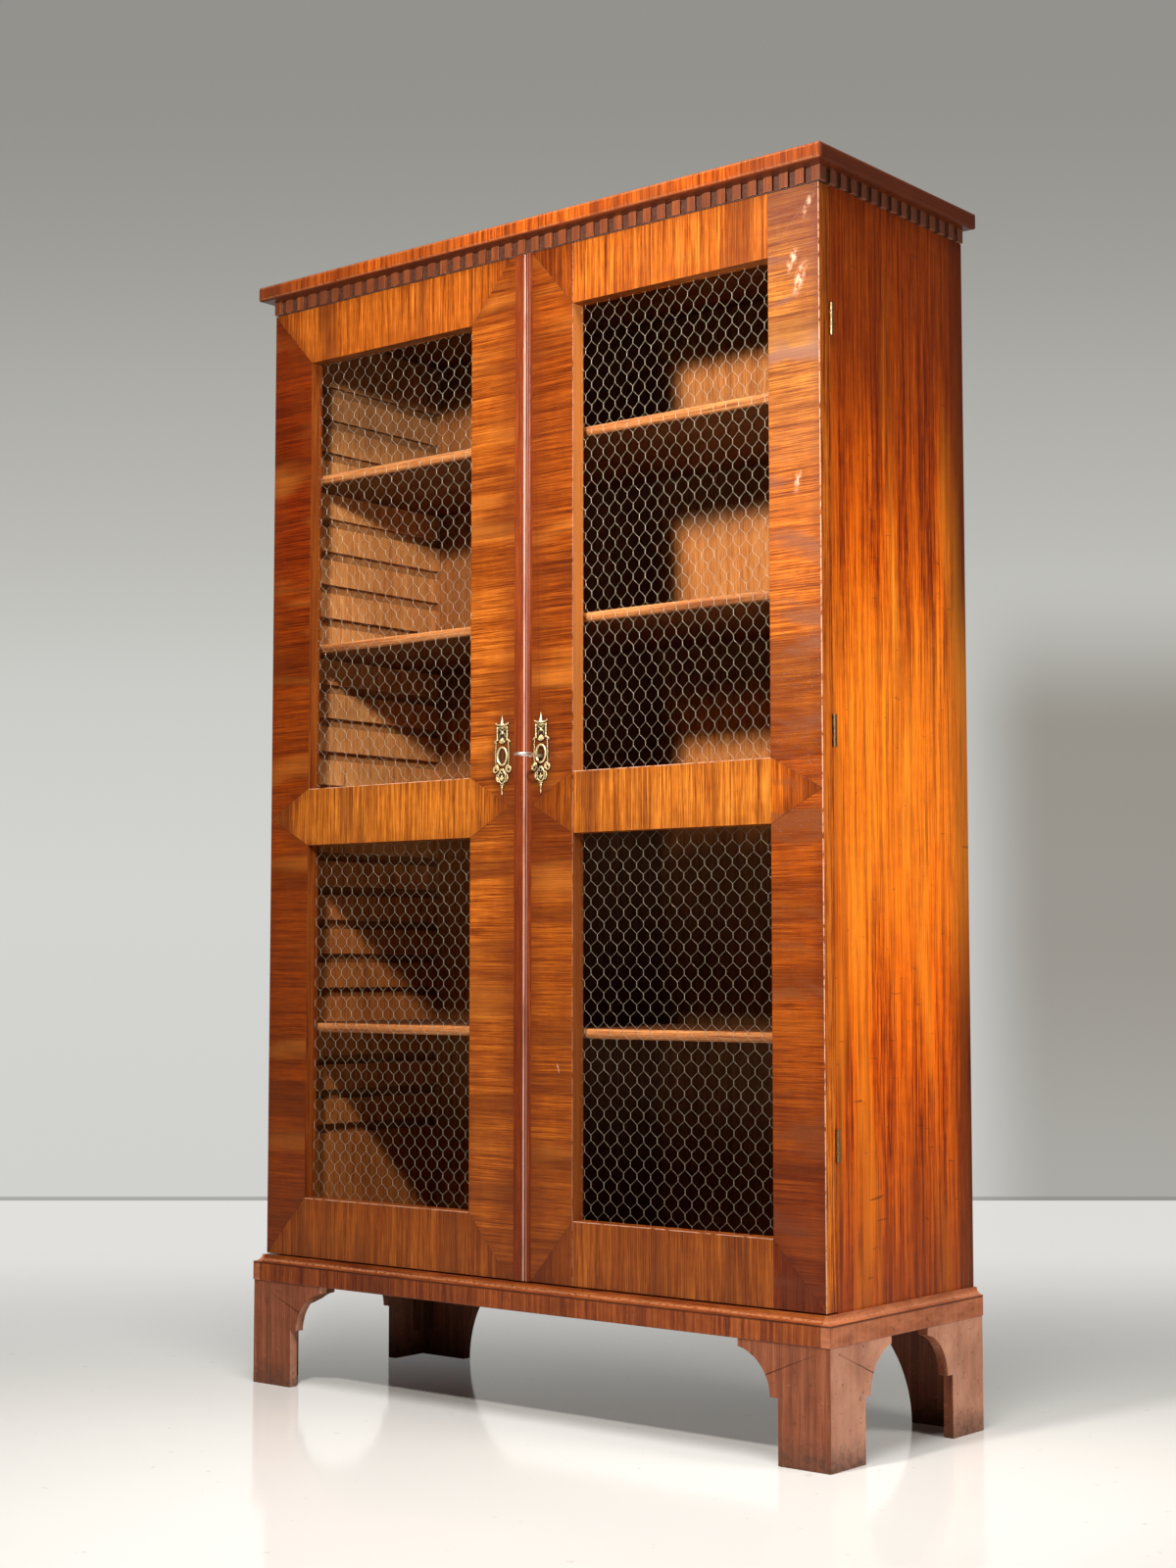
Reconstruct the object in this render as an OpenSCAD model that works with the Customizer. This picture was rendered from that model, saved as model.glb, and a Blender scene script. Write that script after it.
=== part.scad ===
// Two-door bookcase cabinet with wire netting in its doors, a dentil cornice and bracket feet.
// Millimetres, +Z up, front towards -Y. The origin is on the floor, under the middle of the
// cabinet's bounding box. Inside the modules y = 0 is the door face, and placed() shifts it.

/* [Case] */
// Width over the case sides
case_w = 1172; // [1060:1:1300]
// Depth of the case behind the doors
case_d = 384.2; // [320:0.1:460]
// Height of the case between base moulding and dentil band
case_h = 1670; // [1560:1:1800]
// Thickness of a side board under its veneer
side_core_t = 24.8; // [22:0.1:32]
// Thickness of the saw-cut veneer on the sides
side_veneer_t = 1.2; // [0.8:0.1:2]
// Thickness of the bottom board
bottom_t = 22; // [20:1:26]
// Thickness of the top board
top_t = 24; // [22:1:28]
// Thickness of the back boards
back_t = 8; // [6:0.5:12]
// Width of one back board
back_board_w = 220; // [150:1:300]
// Where one of the joints between back boards lies, right of the middle
back_joint_x = 97; // [20:1:120]
// Width of the rebate that holds the back boards
back_rebate = 8; // [6:0.5:12]

/* [Shelves] */
// Thickness of a shelf
shelf_t = 16; // [12:0.5:20]
// Depth of a shelf groove in the side
groove_depth = 8; // [5:0.5:10]
// Distance from one groove to the next
groove_pitch = 60.8; // [50:0.1:66]
// Height of the lowest groove over the bottom board
groove_first = 182.1; // [120:0.1:240]
// Room left between the highest groove and the top board
groove_top_room = 60; // [20:1:120]
// Height of a shelf over the groove's floor that stays free
groove_play = 0.4; // [0.2:0.1:1]
// How far the shelf fronts stand behind the door backs
shelf_setback = 10; // [6:0.5:40]
// Depth of the rounded strip on a shelf's front edge
lipping_d = 8; // [8:0.5:14]
// Groove that holds the lower shelf, counted from the bottom
lower_groove = 3; // [1:1:5]
// Groove that holds the middle shelf
middle_groove = 9; // [7:1:11]
// Groove that holds the upper shelf
upper_groove = 14; // [12:1:16]
// Groove that holds the top shelf
top_groove = 19; // [17:1:20]

/* [Doors] */
// Thickness of a door with its veneer
door_t = 28; // [26:0.5:32]
// Thickness of the veneer on the door faces
door_veneer_t = 1; // [0.6:0.1:1.2]
// Gap between door backs and case front
door_back_gap = 0.5; // [0.4:0.1:1]
// Gap under the doors
door_low_gap = 2.5; // [1.5:0.1:4]
// Gap over the doors
door_top_gap = 2; // [1.5:0.1:4]
// Gap between the two doors
meeting_gap = 2; // [1.6:0.1:4]
// Where the two doors meet, right of the middle
meeting_x = 12; // [0:1:14]
// Width of an outer stile
stile_w = 92.7; // [80:0.1:110]
// Distance from the middle to the openings
opening_in = 110; // [100:1:130]
// Height of the bottom rail
bottom_rail_h = 100.5; // [90:0.5:130]
// Height of the top rail
top_rail_h = 99; // [90:0.5:130]
// Height of the middle rail
middle_rail_h = 98.8; // [90:0.1:130]
// Height of the middle rail's centre over the door bottom
middle_rail_up = 759.1; // [650:0.1:800]
// Depth from the door face to the netting
reveal = 20.3; // [19:0.1:21]
// Width of the rebate round an opening
rebate_w = 8; // [6:0.5:10]
// Length of a tenon
tenon_l = 34; // [20:1:45]
// Thickness of a tenon
tenon_t = 9; // [7:0.5:10]
// Width of the flat strip on the left door's meeting edge
strip_w = 21; // [16:0.5:24]
// Rounding of that strip towards the right door
strip_r = 6; // [4.5:0.5:8]
// Width of the half-round bead on the right door's meeting edge
bead_w = 10; // [8:0.5:12]
// How far strip and bead stand in front of the doors
strip_proud = 4; // [3:0.5:5]

/* [Netting] */
// Cells from one side of an opening to the other
net_columns = 9; // [6:1:9]
// Width of a wire as seen from the front
net_wire = 1.4; // [1:0.1:2]
// Thickness of the netting
net_t = 1.2; // [0.8:0.1:1.6]
// Length of the upright, twisted part of a cell
net_twist = 13; // [9:0.5:14]
// Rise of a slanting wire over half a cell, as a share of the cell's width
net_rise = 0.33; // [0.2:0.01:0.5]

/* [Cornice] */
// Thickness of the cornice board
cornice_t = 26.7; // [20:0.1:34]
// Overhang of the cornice board at the front
cornice_front = 26.3; // [18:0.1:40]
// Overhang of the cornice board at the sides
cornice_side = 21.5; // [14:0.1:34]
// Overhang of the cornice board at the back
cornice_back = 14.8; // [0:0.1:30]
// Radius of the cornice board's edges
cornice_r = 7; // [3:0.5:9]
// Height of the dentil band
dentil_h = 23.8; // [18:0.1:34]
// Width of one dentil block
dentil_w = 15.4; // [10:0.1:18]
// Distance from one block to the next, before it is fitted to the length
dentil_pitch = 29; // [24:0.5:36]
// How far a block stands in front of its ground
dentil_proud = 4.6; // [3:0.1:6]
// Thickness of a dentil strip with its blocks
dentil_t = 9; // [8:0.5:12]
// How far the blocks stand in front of the door face
dentil_front_out = 1; // [0:0.1:4]
// How far the blocks stand out from the case sides
dentil_side_out = 3.6; // [1:0.1:6]
// Ground left free under a block
dentil_drop = 1.2; // [0.5:0.1:3]

/* [Base] */
// Height of the cove moulding
cove_h = 12.9; // [12:0.1:18]
// Radius of the cove
cove_r = 11.5; // [8:0.1:11.5]
// How far cove foot and fascia stand in front of the doors and sides
base_proud = 16.9; // [12:0.1:24]
// Width of the frame boards that carry the case
base_frame_w = 58; // [50:1:80]
// Height of the fascia
fascia_h = 30.6; // [24:0.1:44]
// Thickness of the fascia and of the back rail
fascia_t = 22; // [20:1:26]

/* [Feet] */
// Height of the feet
foot_h = 176; // [150:1:220]
// Thickness of the foot boards
foot_t = 17; // [14:0.5:19]
// How far the feet stand behind the fascia
foot_setback = 1.7; // [0.5:0.1:3]
// Width of a bracket foot at the floor
leg_w = 91.5; // [70:0.5:100]
// Height of the leg up to its step
leg_h = 96.5; // [80:0.5:110]
// Distance from a foot's corner to the tip of its wing
wing_l = 163.5; // [150:0.5:172]
// Radius of the bracket's arc
leg_r = 70.5; // [60:0.5:74]
// Distance from a foot's corner to the centre of the arc
arc_in = 176.3; // [172:0.1:190]
// Height of the arc's centre
arc_h = 95; // [80:1:100]
// Thickness of the block behind a front foot's wing
wing_block_t = 18; // [12:0.5:24]
// Height of that block at its corner end
wing_block_h = 35; // [20:1:50]
// Length of its slanting lower edge
wing_block_slant = 54; // [30:1:70]
// Width of a back foot's rear board at the floor
rear_leg_w = 104; // [80:1:120]
// Radius of the rear board's arc
rear_leg_r = 200; // [180:1:240]
// Side of the square glue block in a foot
block_w = 26; // [16:1:40]
// Height of the glue blocks
block_h = 130; // [90:1:150]

/* [Hinges] */
// Length of a hinge
hinge_l = 48; // [40:1:60]
// Height of the lower hinge's centre over the door bottom
hinge_low_in = 238; // [180:1:300]
// Height of the middle hinge's centre over the door's middle
hinge_mid_up = 12; // [-60:1:60]
// Distance of the upper hinge's centre from the door top
hinge_top_in = 203.5; // [180:0.5:300]
// Radius of a knuckle
knuckle_r = 3; // [2.6:0.1:4]
// Radius of a hinge pin
pin_r = 1.5; // [1:0.1:1.8]
// Thickness of a hinge leaf
leaf_t = 1.8; // [1.2:0.1:2.2]
// Width of a hinge leaf from the pin's centre
leaf_w = 23; // [16:0.5:25]

/* [Lock and key] */
// Height of the key over the door bottom
key_up = 836; // [800:1:860]
// Distance of the key from the right door's meeting edge
backset = 31.7; // [28:0.1:40]
// Radius of the key's shank
shank_r = 2.6; // [2:0.1:3]
// Reach of the key's bit from the shank's centre
bit_reach = 9; // [8:0.5:9.5]
// How far the key stands out of the door
key_out = 60; // [50:1:70]
// Radius of the key's ring, at the middle of its wire
bow_r = 12.6; // [9:0.1:14]
// Radius of the ring's wire
bow_wire_r = 2.2; // [1.6:0.1:2.8]
// Travel of the lock bolt
lock_throw = 10; // [8:0.5:12]
// Height of the lock bolt
lock_bolt_h = 12; // [10:0.5:16]
// Thickness of the lock bolt
lock_bolt_t = 5; // [4:0.1:5.5]
// Thickness of the lock's plates
plate_t = 1.5; // [1:0.1:2]

/* [Door bolts] */
// Radius of a door bolt
bolt_r = 4; // [3:0.1:4.2]
// Length of a door bolt
bolt_l = 80; // [60:1:100]
// Travel of a door bolt
bolt_throw = 15; // [10:1:16]
// Distance of the bolts from the left door's meeting edge
bolt_in = 31; // [24:1:50]

/* [Escutcheons] */
// Distance of an escutcheon's middle from its door's meeting edge, left door
left_escutcheon_in = 49.5; // [44:0.5:60]
// Height of an oval's centre over the key
oval_up = 4; // [2:0.5:5]
// Thickness of the pierced ground
escutcheon_t = 1.6; // [1:0.1:2.4]
// Height of the raised work over the door
relief_t = 3.4; // [2.4:0.1:5]

/* [Hidden] */
$fn = 48;
eps = 0.01;
side_t = side_core_t + side_veneer_t;
case_half = case_w / 2;
wall_x = case_half - side_t;
core_x = case_half - side_veneer_t;
case_front = door_t + door_back_gap;
case_back = case_front + case_d;
back_face = case_back - back_t;

base_z = foot_h + fascia_h + cove_h;
fascia_z = foot_h;
cove_z = foot_h + fascia_h;
band_z = base_z + case_h;
cornice_z = band_z + dentil_h;
cabinet_h = cornice_z + cornice_t;
bottom_top = base_z + bottom_t;
top_under = band_z - top_t;

face_y = (key_out - case_back - cornice_back) / 2;

// Joinery clearances
housing_d = 8;
joint_play = 0.15;
glue_line = 0.1;
board_gap = 0.6;
board_play = 0.3;

// Shelf levels
groove_h = shelf_t + groove_play;
groove_room = top_under - bottom_top - groove_first - groove_h - groove_top_room;
groove_count = floor(groove_room / groove_pitch) + 1;
shelf_end = wall_x + groove_depth - board_play;
shelf_front = door_t + shelf_setback;
function groove_floor(n) = bottom_top + groove_first + n * groove_pitch;

// Door heights and widths; u is the distance from the middle towards a door's hinges
door_z0 = base_z + door_low_gap;
door_z1 = band_z - door_top_gap;
opening_out = case_half - stile_w;
lower_z0 = door_z0 + bottom_rail_h;
middle_z = door_z0 + middle_rail_up;
lower_z1 = middle_z - middle_rail_h / 2;
upper_z0 = middle_z + middle_rail_h / 2;
upper_z1 = door_z1 - top_rail_h;
openings = [[lower_z0, lower_z1], [upper_z0, upper_z1]];
rails = [[door_z0, lower_z0], [lower_z1, upper_z0], [upper_z1, door_z1]];
left = -1;
right = 1;
function meet_u(side) = side * meeting_x + meeting_gap / 2;
function moulding_w(side) = side == left ? strip_w : bead_w;
function field_u(side) = meet_u(side) + moulding_w(side);
tenon_y = (door_veneer_t + reveal) / 2;
tenon_shoulder = 12;
net_border = rebate_w - 0.4;
bead_section_w = rebate_w - board_play;
bead_r = 2.5;

// Dentils
dentil_x = case_half + dentil_side_out;
dentil_back = dentil_t - dentil_proud;
frieze_x = dentil_x - dentil_t;

// Base and feet
base_x = case_half + base_proud;
foot_x = base_x - foot_setback;
foot_y = -base_proud + foot_setback;
rear_arc_x = foot_x - foot_t - rear_leg_w - rear_leg_r;
rear_tip = 6;

// Hinges
knuckle_clear = 0.3;
pin_fit = 0.05;
leaf_play = 0.1;
hinge_u = case_half + knuckle_r + knuckle_clear;
hinge_y = door_t + door_back_gap / 2;
hinge_centres = [
    door_z0 + hinge_low_in,
    (door_z0 + door_z1) / 2 + hinge_mid_up,
    door_z1 - hinge_top_in
];
knuckle_count = 5;
knuckle_h = (hinge_l - (knuckle_count - 1) * knuckle_clear) / knuckle_count;
knuckle_step = knuckle_h + knuckle_clear;

// Lock, key and strike
key_x = meet_u(right) + backset;
key_z = door_z0 + key_up;
lock_back = door_t;
lock_room = 0.3;
bit_overlap = 2.6;
bit_clear = 1.2;
bit_play = 0.2;
lock_tail_room = 16;
lock_tail_gap = 3;
chamber_y1 = lock_back - plate_t;
chamber_y0 = chamber_y1 - lock_bolt_t - 2 * lock_room;
lock_y0 = chamber_y0 - plate_t;
bolt_top_z = key_z - bit_reach + bit_overlap;
bolt_low_z = bolt_top_z - lock_bolt_h;
chamber_z0 = bolt_low_z - lock_room;
chamber_z1 = key_z + bit_reach + bit_clear;
chamber_x0 = meet_u(right) + plate_t;
chamber_x1 = key_x + bit_reach + lock_tail_room;
lock_head_x = meet_u(right) + bit_play;
lock_tail_x = chamber_x1 - lock_tail_gap;
plate_over = 14;
plate_side = 1.2;
bit_t = 2.4;
ward_d = 3;
ward_w = 1;
notch_w = 11.4;
notch_d = 3.2;
shank_fit = 0.06;
collar_r = 4.2;
collar_cone = 3;
collar_l = 2;
ring_r = 3.4;
ring_l = 1.6;
pilot_r = 1.5;
strike_x = meeting_x - meeting_gap / 2;
strike_room = 0.6;
keyhole_r = 3.6;
keyhole_up = 11.4;
keyhole_slot = 5.8;

// Door bolts on the back of the left door
bolt_x = strike_x - bolt_in;
guide_plate_t = 2;
bolt_off = 1;
bolt_y = door_t + guide_plate_t + bolt_r + bolt_off;
bolt_fit = 0.06;
bolt_start = 1.5;
bolt_hole_fit = 0.15;
guide_w = 30;
guide_h = 72;
guide_drop = 3;
strap_h = 7;
strap_wall = 1.4;
bolt_knob_r = 3;
bolt_knob_l = 9;
bolt_knob_up = 30;

// Escutcheons
oval_w = 15;
oval_h = 27.5;
oval_rim = 4.8;
finial_z = 68;
finial_r = 1.7;
neck_z = 50;
spear_w = 3.4;
drop_z = -66;
drop_knob_z = -50;
drop_knob_r = 2.2;
drop_neck_z = -46;
drop_w = 2.8;
ground_edge = 1;

mahogany = [0.62, 0.28, 0.12];
veneer = [0.72, 0.34, 0.13];
inner_wood = [0.72, 0.52, 0.33];
wire = [0.66, 0.60, 0.46];
brass = [0.80, 0.64, 0.34];
steel = [0.62, 0.60, 0.58];

// Placing and drawing helpers

module placed() {
    translate([0, face_y, 0]) children();
}

module on_side(side) {
    mirror([side == left ? 1 : 0, 0, 0]) children();
}

module box(x, y, z) {
    translate([x[0], y[0], z[0]]) cube([x[1] - x[0], y[1] - y[0], z[1] - z[0]]);
}

// Children drawn in x and z become a plate from y0 to y0 + t
module front_plate(y0, t) {
    translate([0, y0 + t, 0]) rotate([90, 0, 0]) linear_extrude(t) children();
}

// Children drawn in y and z become a length from x0 to x0 + t
module side_plate(x0, t) {
    translate([x0, 0, 0]) rotate([90, 0, 90]) linear_extrude(t) children();
}

// What belongs to the front length of a mitred corner at x = cx, y = cy
module front_zone(cx, cy) {
    x = cx - glue_line;
    depth = x - 1;
    linear_extrude(cabinet_h)
        polygon([[-x, cy], [x, cy], [x - depth, cy + depth], [depth - x, cy + depth]]);
}

// What belongs to the side length of the same corner, on the right
module side_zone(cx, cy) {
    y = cy + glue_line;
    depth = cx - 1;
    linear_extrude(cabinet_h)
        polygon([[cx, y], [cx, y + 2 * depth], [1, y + 2 * depth], [1, y + depth]]);
}

// Bar between two points in the plane, longer than them by over at both ends
module bar(a, b, w, over = 0) {
    d = b - a;
    translate(a) rotate(atan2(d[1], d[0])) translate([-over, -w / 2])
        square([norm(d) + 2 * over, w]);
}

module round_square(size, r) {
    for (x = [r, size[0] - r], y = [r, size[1] - r]) translate([x, y]) circle(r);
    translate([r, 0]) square([size[0] - 2 * r, size[1]]);
    translate([0, r]) square([size[0], size[1] - 2 * r]);
}

// Cornice and dentil band

// Board with rounded edges all round and rounded corners
module cornice_top() {
    w = 2 * (case_half + cornice_side);
    d = cornice_front + case_back + cornice_back;
    color(mahogany) placed() translate([0, -cornice_front, cornice_z]) intersection() {
        side_plate(-w / 2, w) round_square([d, cornice_t], cornice_r);
        translate([-w / 2, 0, 0]) front_plate(0, d) round_square([w, cornice_t], cornice_r);
        translate([-w / 2, 0, 0]) linear_extrude(cornice_t) round_square([w, d], cornice_r);
    }
}

// Comb of blocks seen from above: it runs from 0 to length and the blocks point down
module dentil_comb(length) {
    steps = round((length - dentil_w) / dentil_pitch);
    pitch = (length - dentil_w) / steps;
    for (i = [0 : steps]) {
        translate([i * pitch, 0]) square([dentil_w, dentil_proud + eps]);
    }
}

module dentil_front() {
    color(mahogany) placed() intersection() {
        union() {
            translate([-dentil_x, dentil_proud - dentil_front_out, band_z])
                cube([2 * dentil_x, dentil_back, dentil_h]);
            translate([-dentil_x, -dentil_front_out, band_z + dentil_drop])
                linear_extrude(dentil_h - dentil_drop) dentil_comb(2 * dentil_x);
        }
        front_zone(dentil_x, -dentil_front_out);
    }
}

module dentil_side(side) {
    length = case_back + dentil_front_out;
    color(mahogany) placed() on_side(side) intersection() {
        union() {
            translate([frieze_x, -dentil_front_out, band_z]) cube([dentil_back, length, dentil_h]);
            translate([dentil_x, -dentil_front_out, band_z + dentil_drop])
                rotate(90) linear_extrude(dentil_h - dentil_drop) dentil_comb(length);
        }
        side_zone(dentil_x, -dentil_front_out);
    }
}

module frieze_rail() {
    y0 = dentil_t - dentil_front_out;
    color(mahogany) placed()
        box([-frieze_x, frieze_x], [y0, case_front], [band_z, cornice_z]);
}

// Case

module bolt_hole(z0) {
    translate([bolt_x, bolt_y, z0])
        cylinder(r = bolt_r + bolt_hole_fit, h = bolt_throw + bolt_start + 1);
}

module case_board(z0, z1) {
    x = wall_x + housing_d;
    box([-x, x], [case_front, back_face], [z0, z1]);
}

module case_top() {
    color(inner_wood) placed() difference() {
        case_board(top_under, band_z);
        bolt_hole(top_under - 1);
    }
}

module case_bottom() {
    color(inner_wood) placed() difference() {
        case_board(base_z, bottom_top);
        bolt_hole(bottom_top - bolt_throw - bolt_start);
    }
}

module case_leaf_recess(centre) {
    box([hinge_u - leaf_w - leaf_play, case_half + 1], [case_front - 1, case_front + leaf_t],
        [centre - hinge_l / 2 - leaf_play, centre + hinge_l / 2 + leaf_play]);
}

module case_side(side) {
    color(inner_wood) placed() on_side(side) difference() {
        box([wall_x, core_x], [case_front, case_back], [base_z, cornice_z]);
        // rebate for the side dentil strip
        box([frieze_x, case_half], [0, case_back + 1], [band_z, cornice_z + 1]);
        // rebate for the back boards
        box([wall_x - 1, wall_x + back_rebate], [back_face, case_back + 1],
            [base_z - 1, cornice_z + 1]);
        // housings for the top and bottom boards
        box([wall_x - 1, wall_x + housing_d], [0, back_face + eps], [base_z - 1, bottom_top]);
        box([wall_x - 1, wall_x + housing_d], [0, back_face + eps], [top_under, band_z]);
        for (n = [0 : groove_count - 1]) {
            box([wall_x - 1, wall_x + groove_depth], [0, back_face + eps],
                [groove_floor(n), groove_floor(n) + groove_h]);
        }
        for (centre = hinge_centres) case_leaf_recess(centre);
    }
}

module side_veneers() {
    color(veneer) placed() for (side = [left, right]) on_side(side) difference() {
        box([core_x, case_half], [case_front, case_back], [base_z, band_z]);
        for (centre = hinge_centres) case_leaf_recess(centre);
    }
}

module back_boards() {
    edge = wall_x + back_rebate - board_play + board_gap / 2;
    most = ceil(edge / back_board_w);
    joints = [
        for (k = [-most : most])
            let (x = back_joint_x + k * back_board_w)
            if (abs(x) < edge - back_board_w / 2) x
    ];
    edges = concat([-edge], joints, [edge]);
    color(inner_wood) placed() for (i = [1 : len(edges) - 1]) {
        box([edges[i - 1] + board_gap / 2, edges[i] - board_gap / 2],
            [back_face, case_back], [base_z, cornice_z]);
    }
}

module shelf(n) {
    color(inner_wood) placed()
        box([-shelf_end, shelf_end], [shelf_front + lipping_d, back_face - board_play],
            [groove_floor(n), groove_floor(n) + shelf_t]);
}

// Half-round strip glued to the front of a shelf
module lipping_section() {
    intersection() {
        square([lipping_d, shelf_t]);
        translate([shelf_t / 2, shelf_t / 2]) union() {
            circle(shelf_t / 2);
            translate([0, -shelf_t / 2]) square([lipping_d, shelf_t]);
        }
    }
}

module shelf_lippings() {
    color(mahogany) placed()
        for (n = [lower_groove, middle_groove, upper_groove, top_groove]) {
            translate([0, shelf_front, groove_floor(n)])
                side_plate(-shelf_end, 2 * shelf_end) lipping_section();
        }
}

// Base

// Distance in front of the doors or sides, and height
module cove_section() {
    difference() {
        translate([base_proud - base_frame_w, cove_z]) square([base_frame_w, cove_h]);
        translate([base_proud, base_z]) circle(cove_r);
    }
}

module base_cove() {
    color(mahogany) placed() {
        intersection() {
            side_plate(-base_x, 2 * base_x) mirror([1, 0]) cove_section();
            front_zone(base_x, -base_proud);
        }
        for (side = [left, right]) on_side(side) intersection() {
            front_plate(-base_proud, case_back + base_proud)
                translate([case_half, 0]) cove_section();
            side_zone(base_x, -base_proud);
        }
    }
}

module base_fascia() {
    z = [fascia_z, cove_z];
    color(mahogany) placed() {
        intersection() {
            box([-base_x, base_x], [-base_proud, fascia_t - base_proud], z);
            front_zone(base_x, -base_proud);
        }
        for (side = [left, right]) on_side(side) intersection() {
            box([base_x - fascia_t, base_x], [-base_proud, case_back], z);
            side_zone(base_x, -base_proud);
        }
    }
}

module base_rail_back() {
    y = [case_back - fascia_t, case_back];
    low_x = base_x - fascia_t;
    high_x = base_x - base_frame_w;
    color(inner_wood) placed() {
        box([-low_x, low_x], y, [fascia_z, cove_z]);
        box([-high_x, high_x], y, [cove_z - eps, base_z]);
    }
}

// Feet

// Bracket outline from the outer corner at 0: leg, step, hollow arc and the wing's square tip
module bracket_outline() {
    difference() {
        square([wing_l, foot_h]);
        translate([leg_w, -1]) square([wing_l, leg_h + 1]);
        translate([arc_in, arc_h]) circle(leg_r, $fn = 96);
    }
}

module foot_front(side) {
    color(mahogany) placed() on_side(side) {
        intersection() {
            front_plate(foot_y, foot_t) translate([foot_x, 0]) mirror([1, 0]) bracket_outline();
            front_zone(foot_x, foot_y);
        }
        intersection() {
            side_plate(foot_x - foot_t, foot_t) translate([foot_y, 0]) bracket_outline();
            side_zone(foot_x, foot_y);
        }
    }
}

module foot_back(side) {
    rear_x1 = foot_x - foot_t - glue_line;
    rear_x0 = rear_arc_x + sqrt(pow(rear_leg_r, 2) - pow(foot_h, 2)) + rear_tip;
    color(mahogany) placed() on_side(side) {
        side_plate(foot_x - foot_t, foot_t)
            translate([case_back, 0]) mirror([1, 0]) bracket_outline();
        front_plate(case_back - foot_t, foot_t) difference() {
            translate([rear_x0, 0]) square([rear_x1 - rear_x0, foot_h]);
            translate([rear_arc_x, 0]) circle(rear_leg_r, $fn = 96);
        }
    }
}

module glue_blocks() {
    x = [foot_x - foot_t - block_w, foot_x - foot_t];
    z = [foot_h - block_h, foot_h];
    color(inner_wood) placed() for (side = [left, right]) on_side(side) {
        box(x, [foot_y + foot_t, foot_y + foot_t + block_w], z);
        box(x, [case_back - foot_t - block_w, case_back - foot_t], z);
        wing_block();
    }
}

// Block glued behind the wing of a front foot, sawn with its tip and slanting below
module wing_block() {
    corner = foot_t + block_w + glue_line;
    front_plate(foot_y + foot_t, wing_block_t) translate([foot_x, 0]) mirror([1, 0])
        intersection() {
            bracket_outline();
            polygon([
                [corner, foot_h], [wing_l, foot_h], [wing_l, arc_h + leg_r - 1],
                [wing_l - wing_block_slant, foot_h - wing_block_h],
                [corner, foot_h - wing_block_h]
            ]);
        }
}

// Hinges

// Leaf with its knuckles round the pin at 0, reaching inwards; back is 1 on the case, -1 on the door
module hinge_leaf(back) {
    inner = knuckle_r + knuckle_clear;
    y0 = back * (door_back_gap / 2 + leaf_t / 2);
    difference() {
        union() {
            translate([-leaf_w, y0 - leaf_t / 2, 0]) cube([leaf_w - inner, leaf_t, hinge_l]);
            for (i = [back > 0 ? 0 : 1 : 2 : knuckle_count - 1]) {
                translate([0, 0, i * knuckle_step]) {
                    cylinder(r = knuckle_r, h = knuckle_h);
                    translate([-inner - eps, y0 - leaf_t / 2, 0]) cube([inner, leaf_t, knuckle_h]);
                }
            }
        }
        translate([0, 0, -1]) cylinder(r = pin_r + pin_fit, h = hinge_l + 2);
    }
}

module at_hinges(side) {
    on_side(side) for (centre = hinge_centres) {
        translate([hinge_u, hinge_y, centre - hinge_l / 2]) children();
    }
}

module case_hinge_leaves() {
    color(brass) placed() for (side = [left, right]) at_hinges(side) hinge_leaf(1);
}

module door_hinge_leaves(side) {
    color(brass) placed() at_hinges(side) hinge_leaf(-1);
}

module hinge_pins() {
    color(brass) placed() for (side = [left, right]) at_hinges(side) {
        cylinder(r = pin_r, h = hinge_l);
    }
}

// Doors

module net_rebates() {
    for (opening = openings) {
        box([opening_in - rebate_w, opening_out + rebate_w], [reveal, door_t + 1],
            [opening[0] - rebate_w, opening[1] + rebate_w]);
    }
}

// Tenon that reaches from the opening's edge at u into a stile; play widens it to a mortise
module tenon(u, towards, rail, play) {
    reach = tenon_l + 2 * play;
    u0 = towards > 0 ? u - eps : u - reach;
    box([u0, u0 + reach + eps], [tenon_y - tenon_t / 2 - play, tenon_y + tenon_t / 2 + play],
        [rail[0] + tenon_shoulder - play, rail[1] - tenon_shoulder + play]);
}

module door_leaf_recess(centre) {
    box([hinge_u - leaf_w - leaf_play, case_half + 1], [door_t - leaf_t, door_t + 1],
        [centre - hinge_l / 2 - leaf_play, centre + hinge_l / 2 + leaf_play]);
}

module hinge_stile(side) {
    color(mahogany) placed() on_side(side) difference() {
        box([opening_out, case_half], [door_veneer_t, door_t], [door_z0, door_z1]);
        net_rebates();
        for (rail = rails) tenon(opening_out, 1, rail, joint_play);
        for (centre = hinge_centres) door_leaf_recess(centre);
    }
}

module plain_meeting_stile(side) {
    difference() {
        box([meet_u(side), opening_in], [door_veneer_t, door_t], [door_z0, door_z1]);
        net_rebates();
        for (rail = rails) tenon(opening_in, -1, rail, joint_play);
    }
}

module door_rail(side, rail) {
    color(mahogany) placed() on_side(side) difference() {
        union() {
            box([opening_in, opening_out], [door_veneer_t, door_t], rail);
            tenon(opening_in, -1, rail, 0);
            tenon(opening_out, 1, rail, 0);
        }
        net_rebates();
    }
}

// Front veneers in u and z: the mitre lines part each sheet into three rail and four stile pieces
module veneer_sheet(side) {
    inner = field_u(side);
    outer = case_half;
    difference() {
        translate([inner, door_z0]) square([outer - inner, door_z1 - door_z0]);
        for (opening = openings) {
            translate([opening_in, opening[0]])
                square([opening_out - opening_in, opening[1] - opening[0]]);
        }
        for (edge = [[inner, opening_in], [outer, opening_out]]) {
            mitre([edge[0], door_z1], [edge[1], upper_z1]);
            mitre([edge[0], middle_z], [edge[1], upper_z0]);
            mitre([edge[0], middle_z], [edge[1], lower_z1]);
            mitre([edge[0], door_z0], [edge[1], lower_z0]);
        }
    }
}

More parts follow.
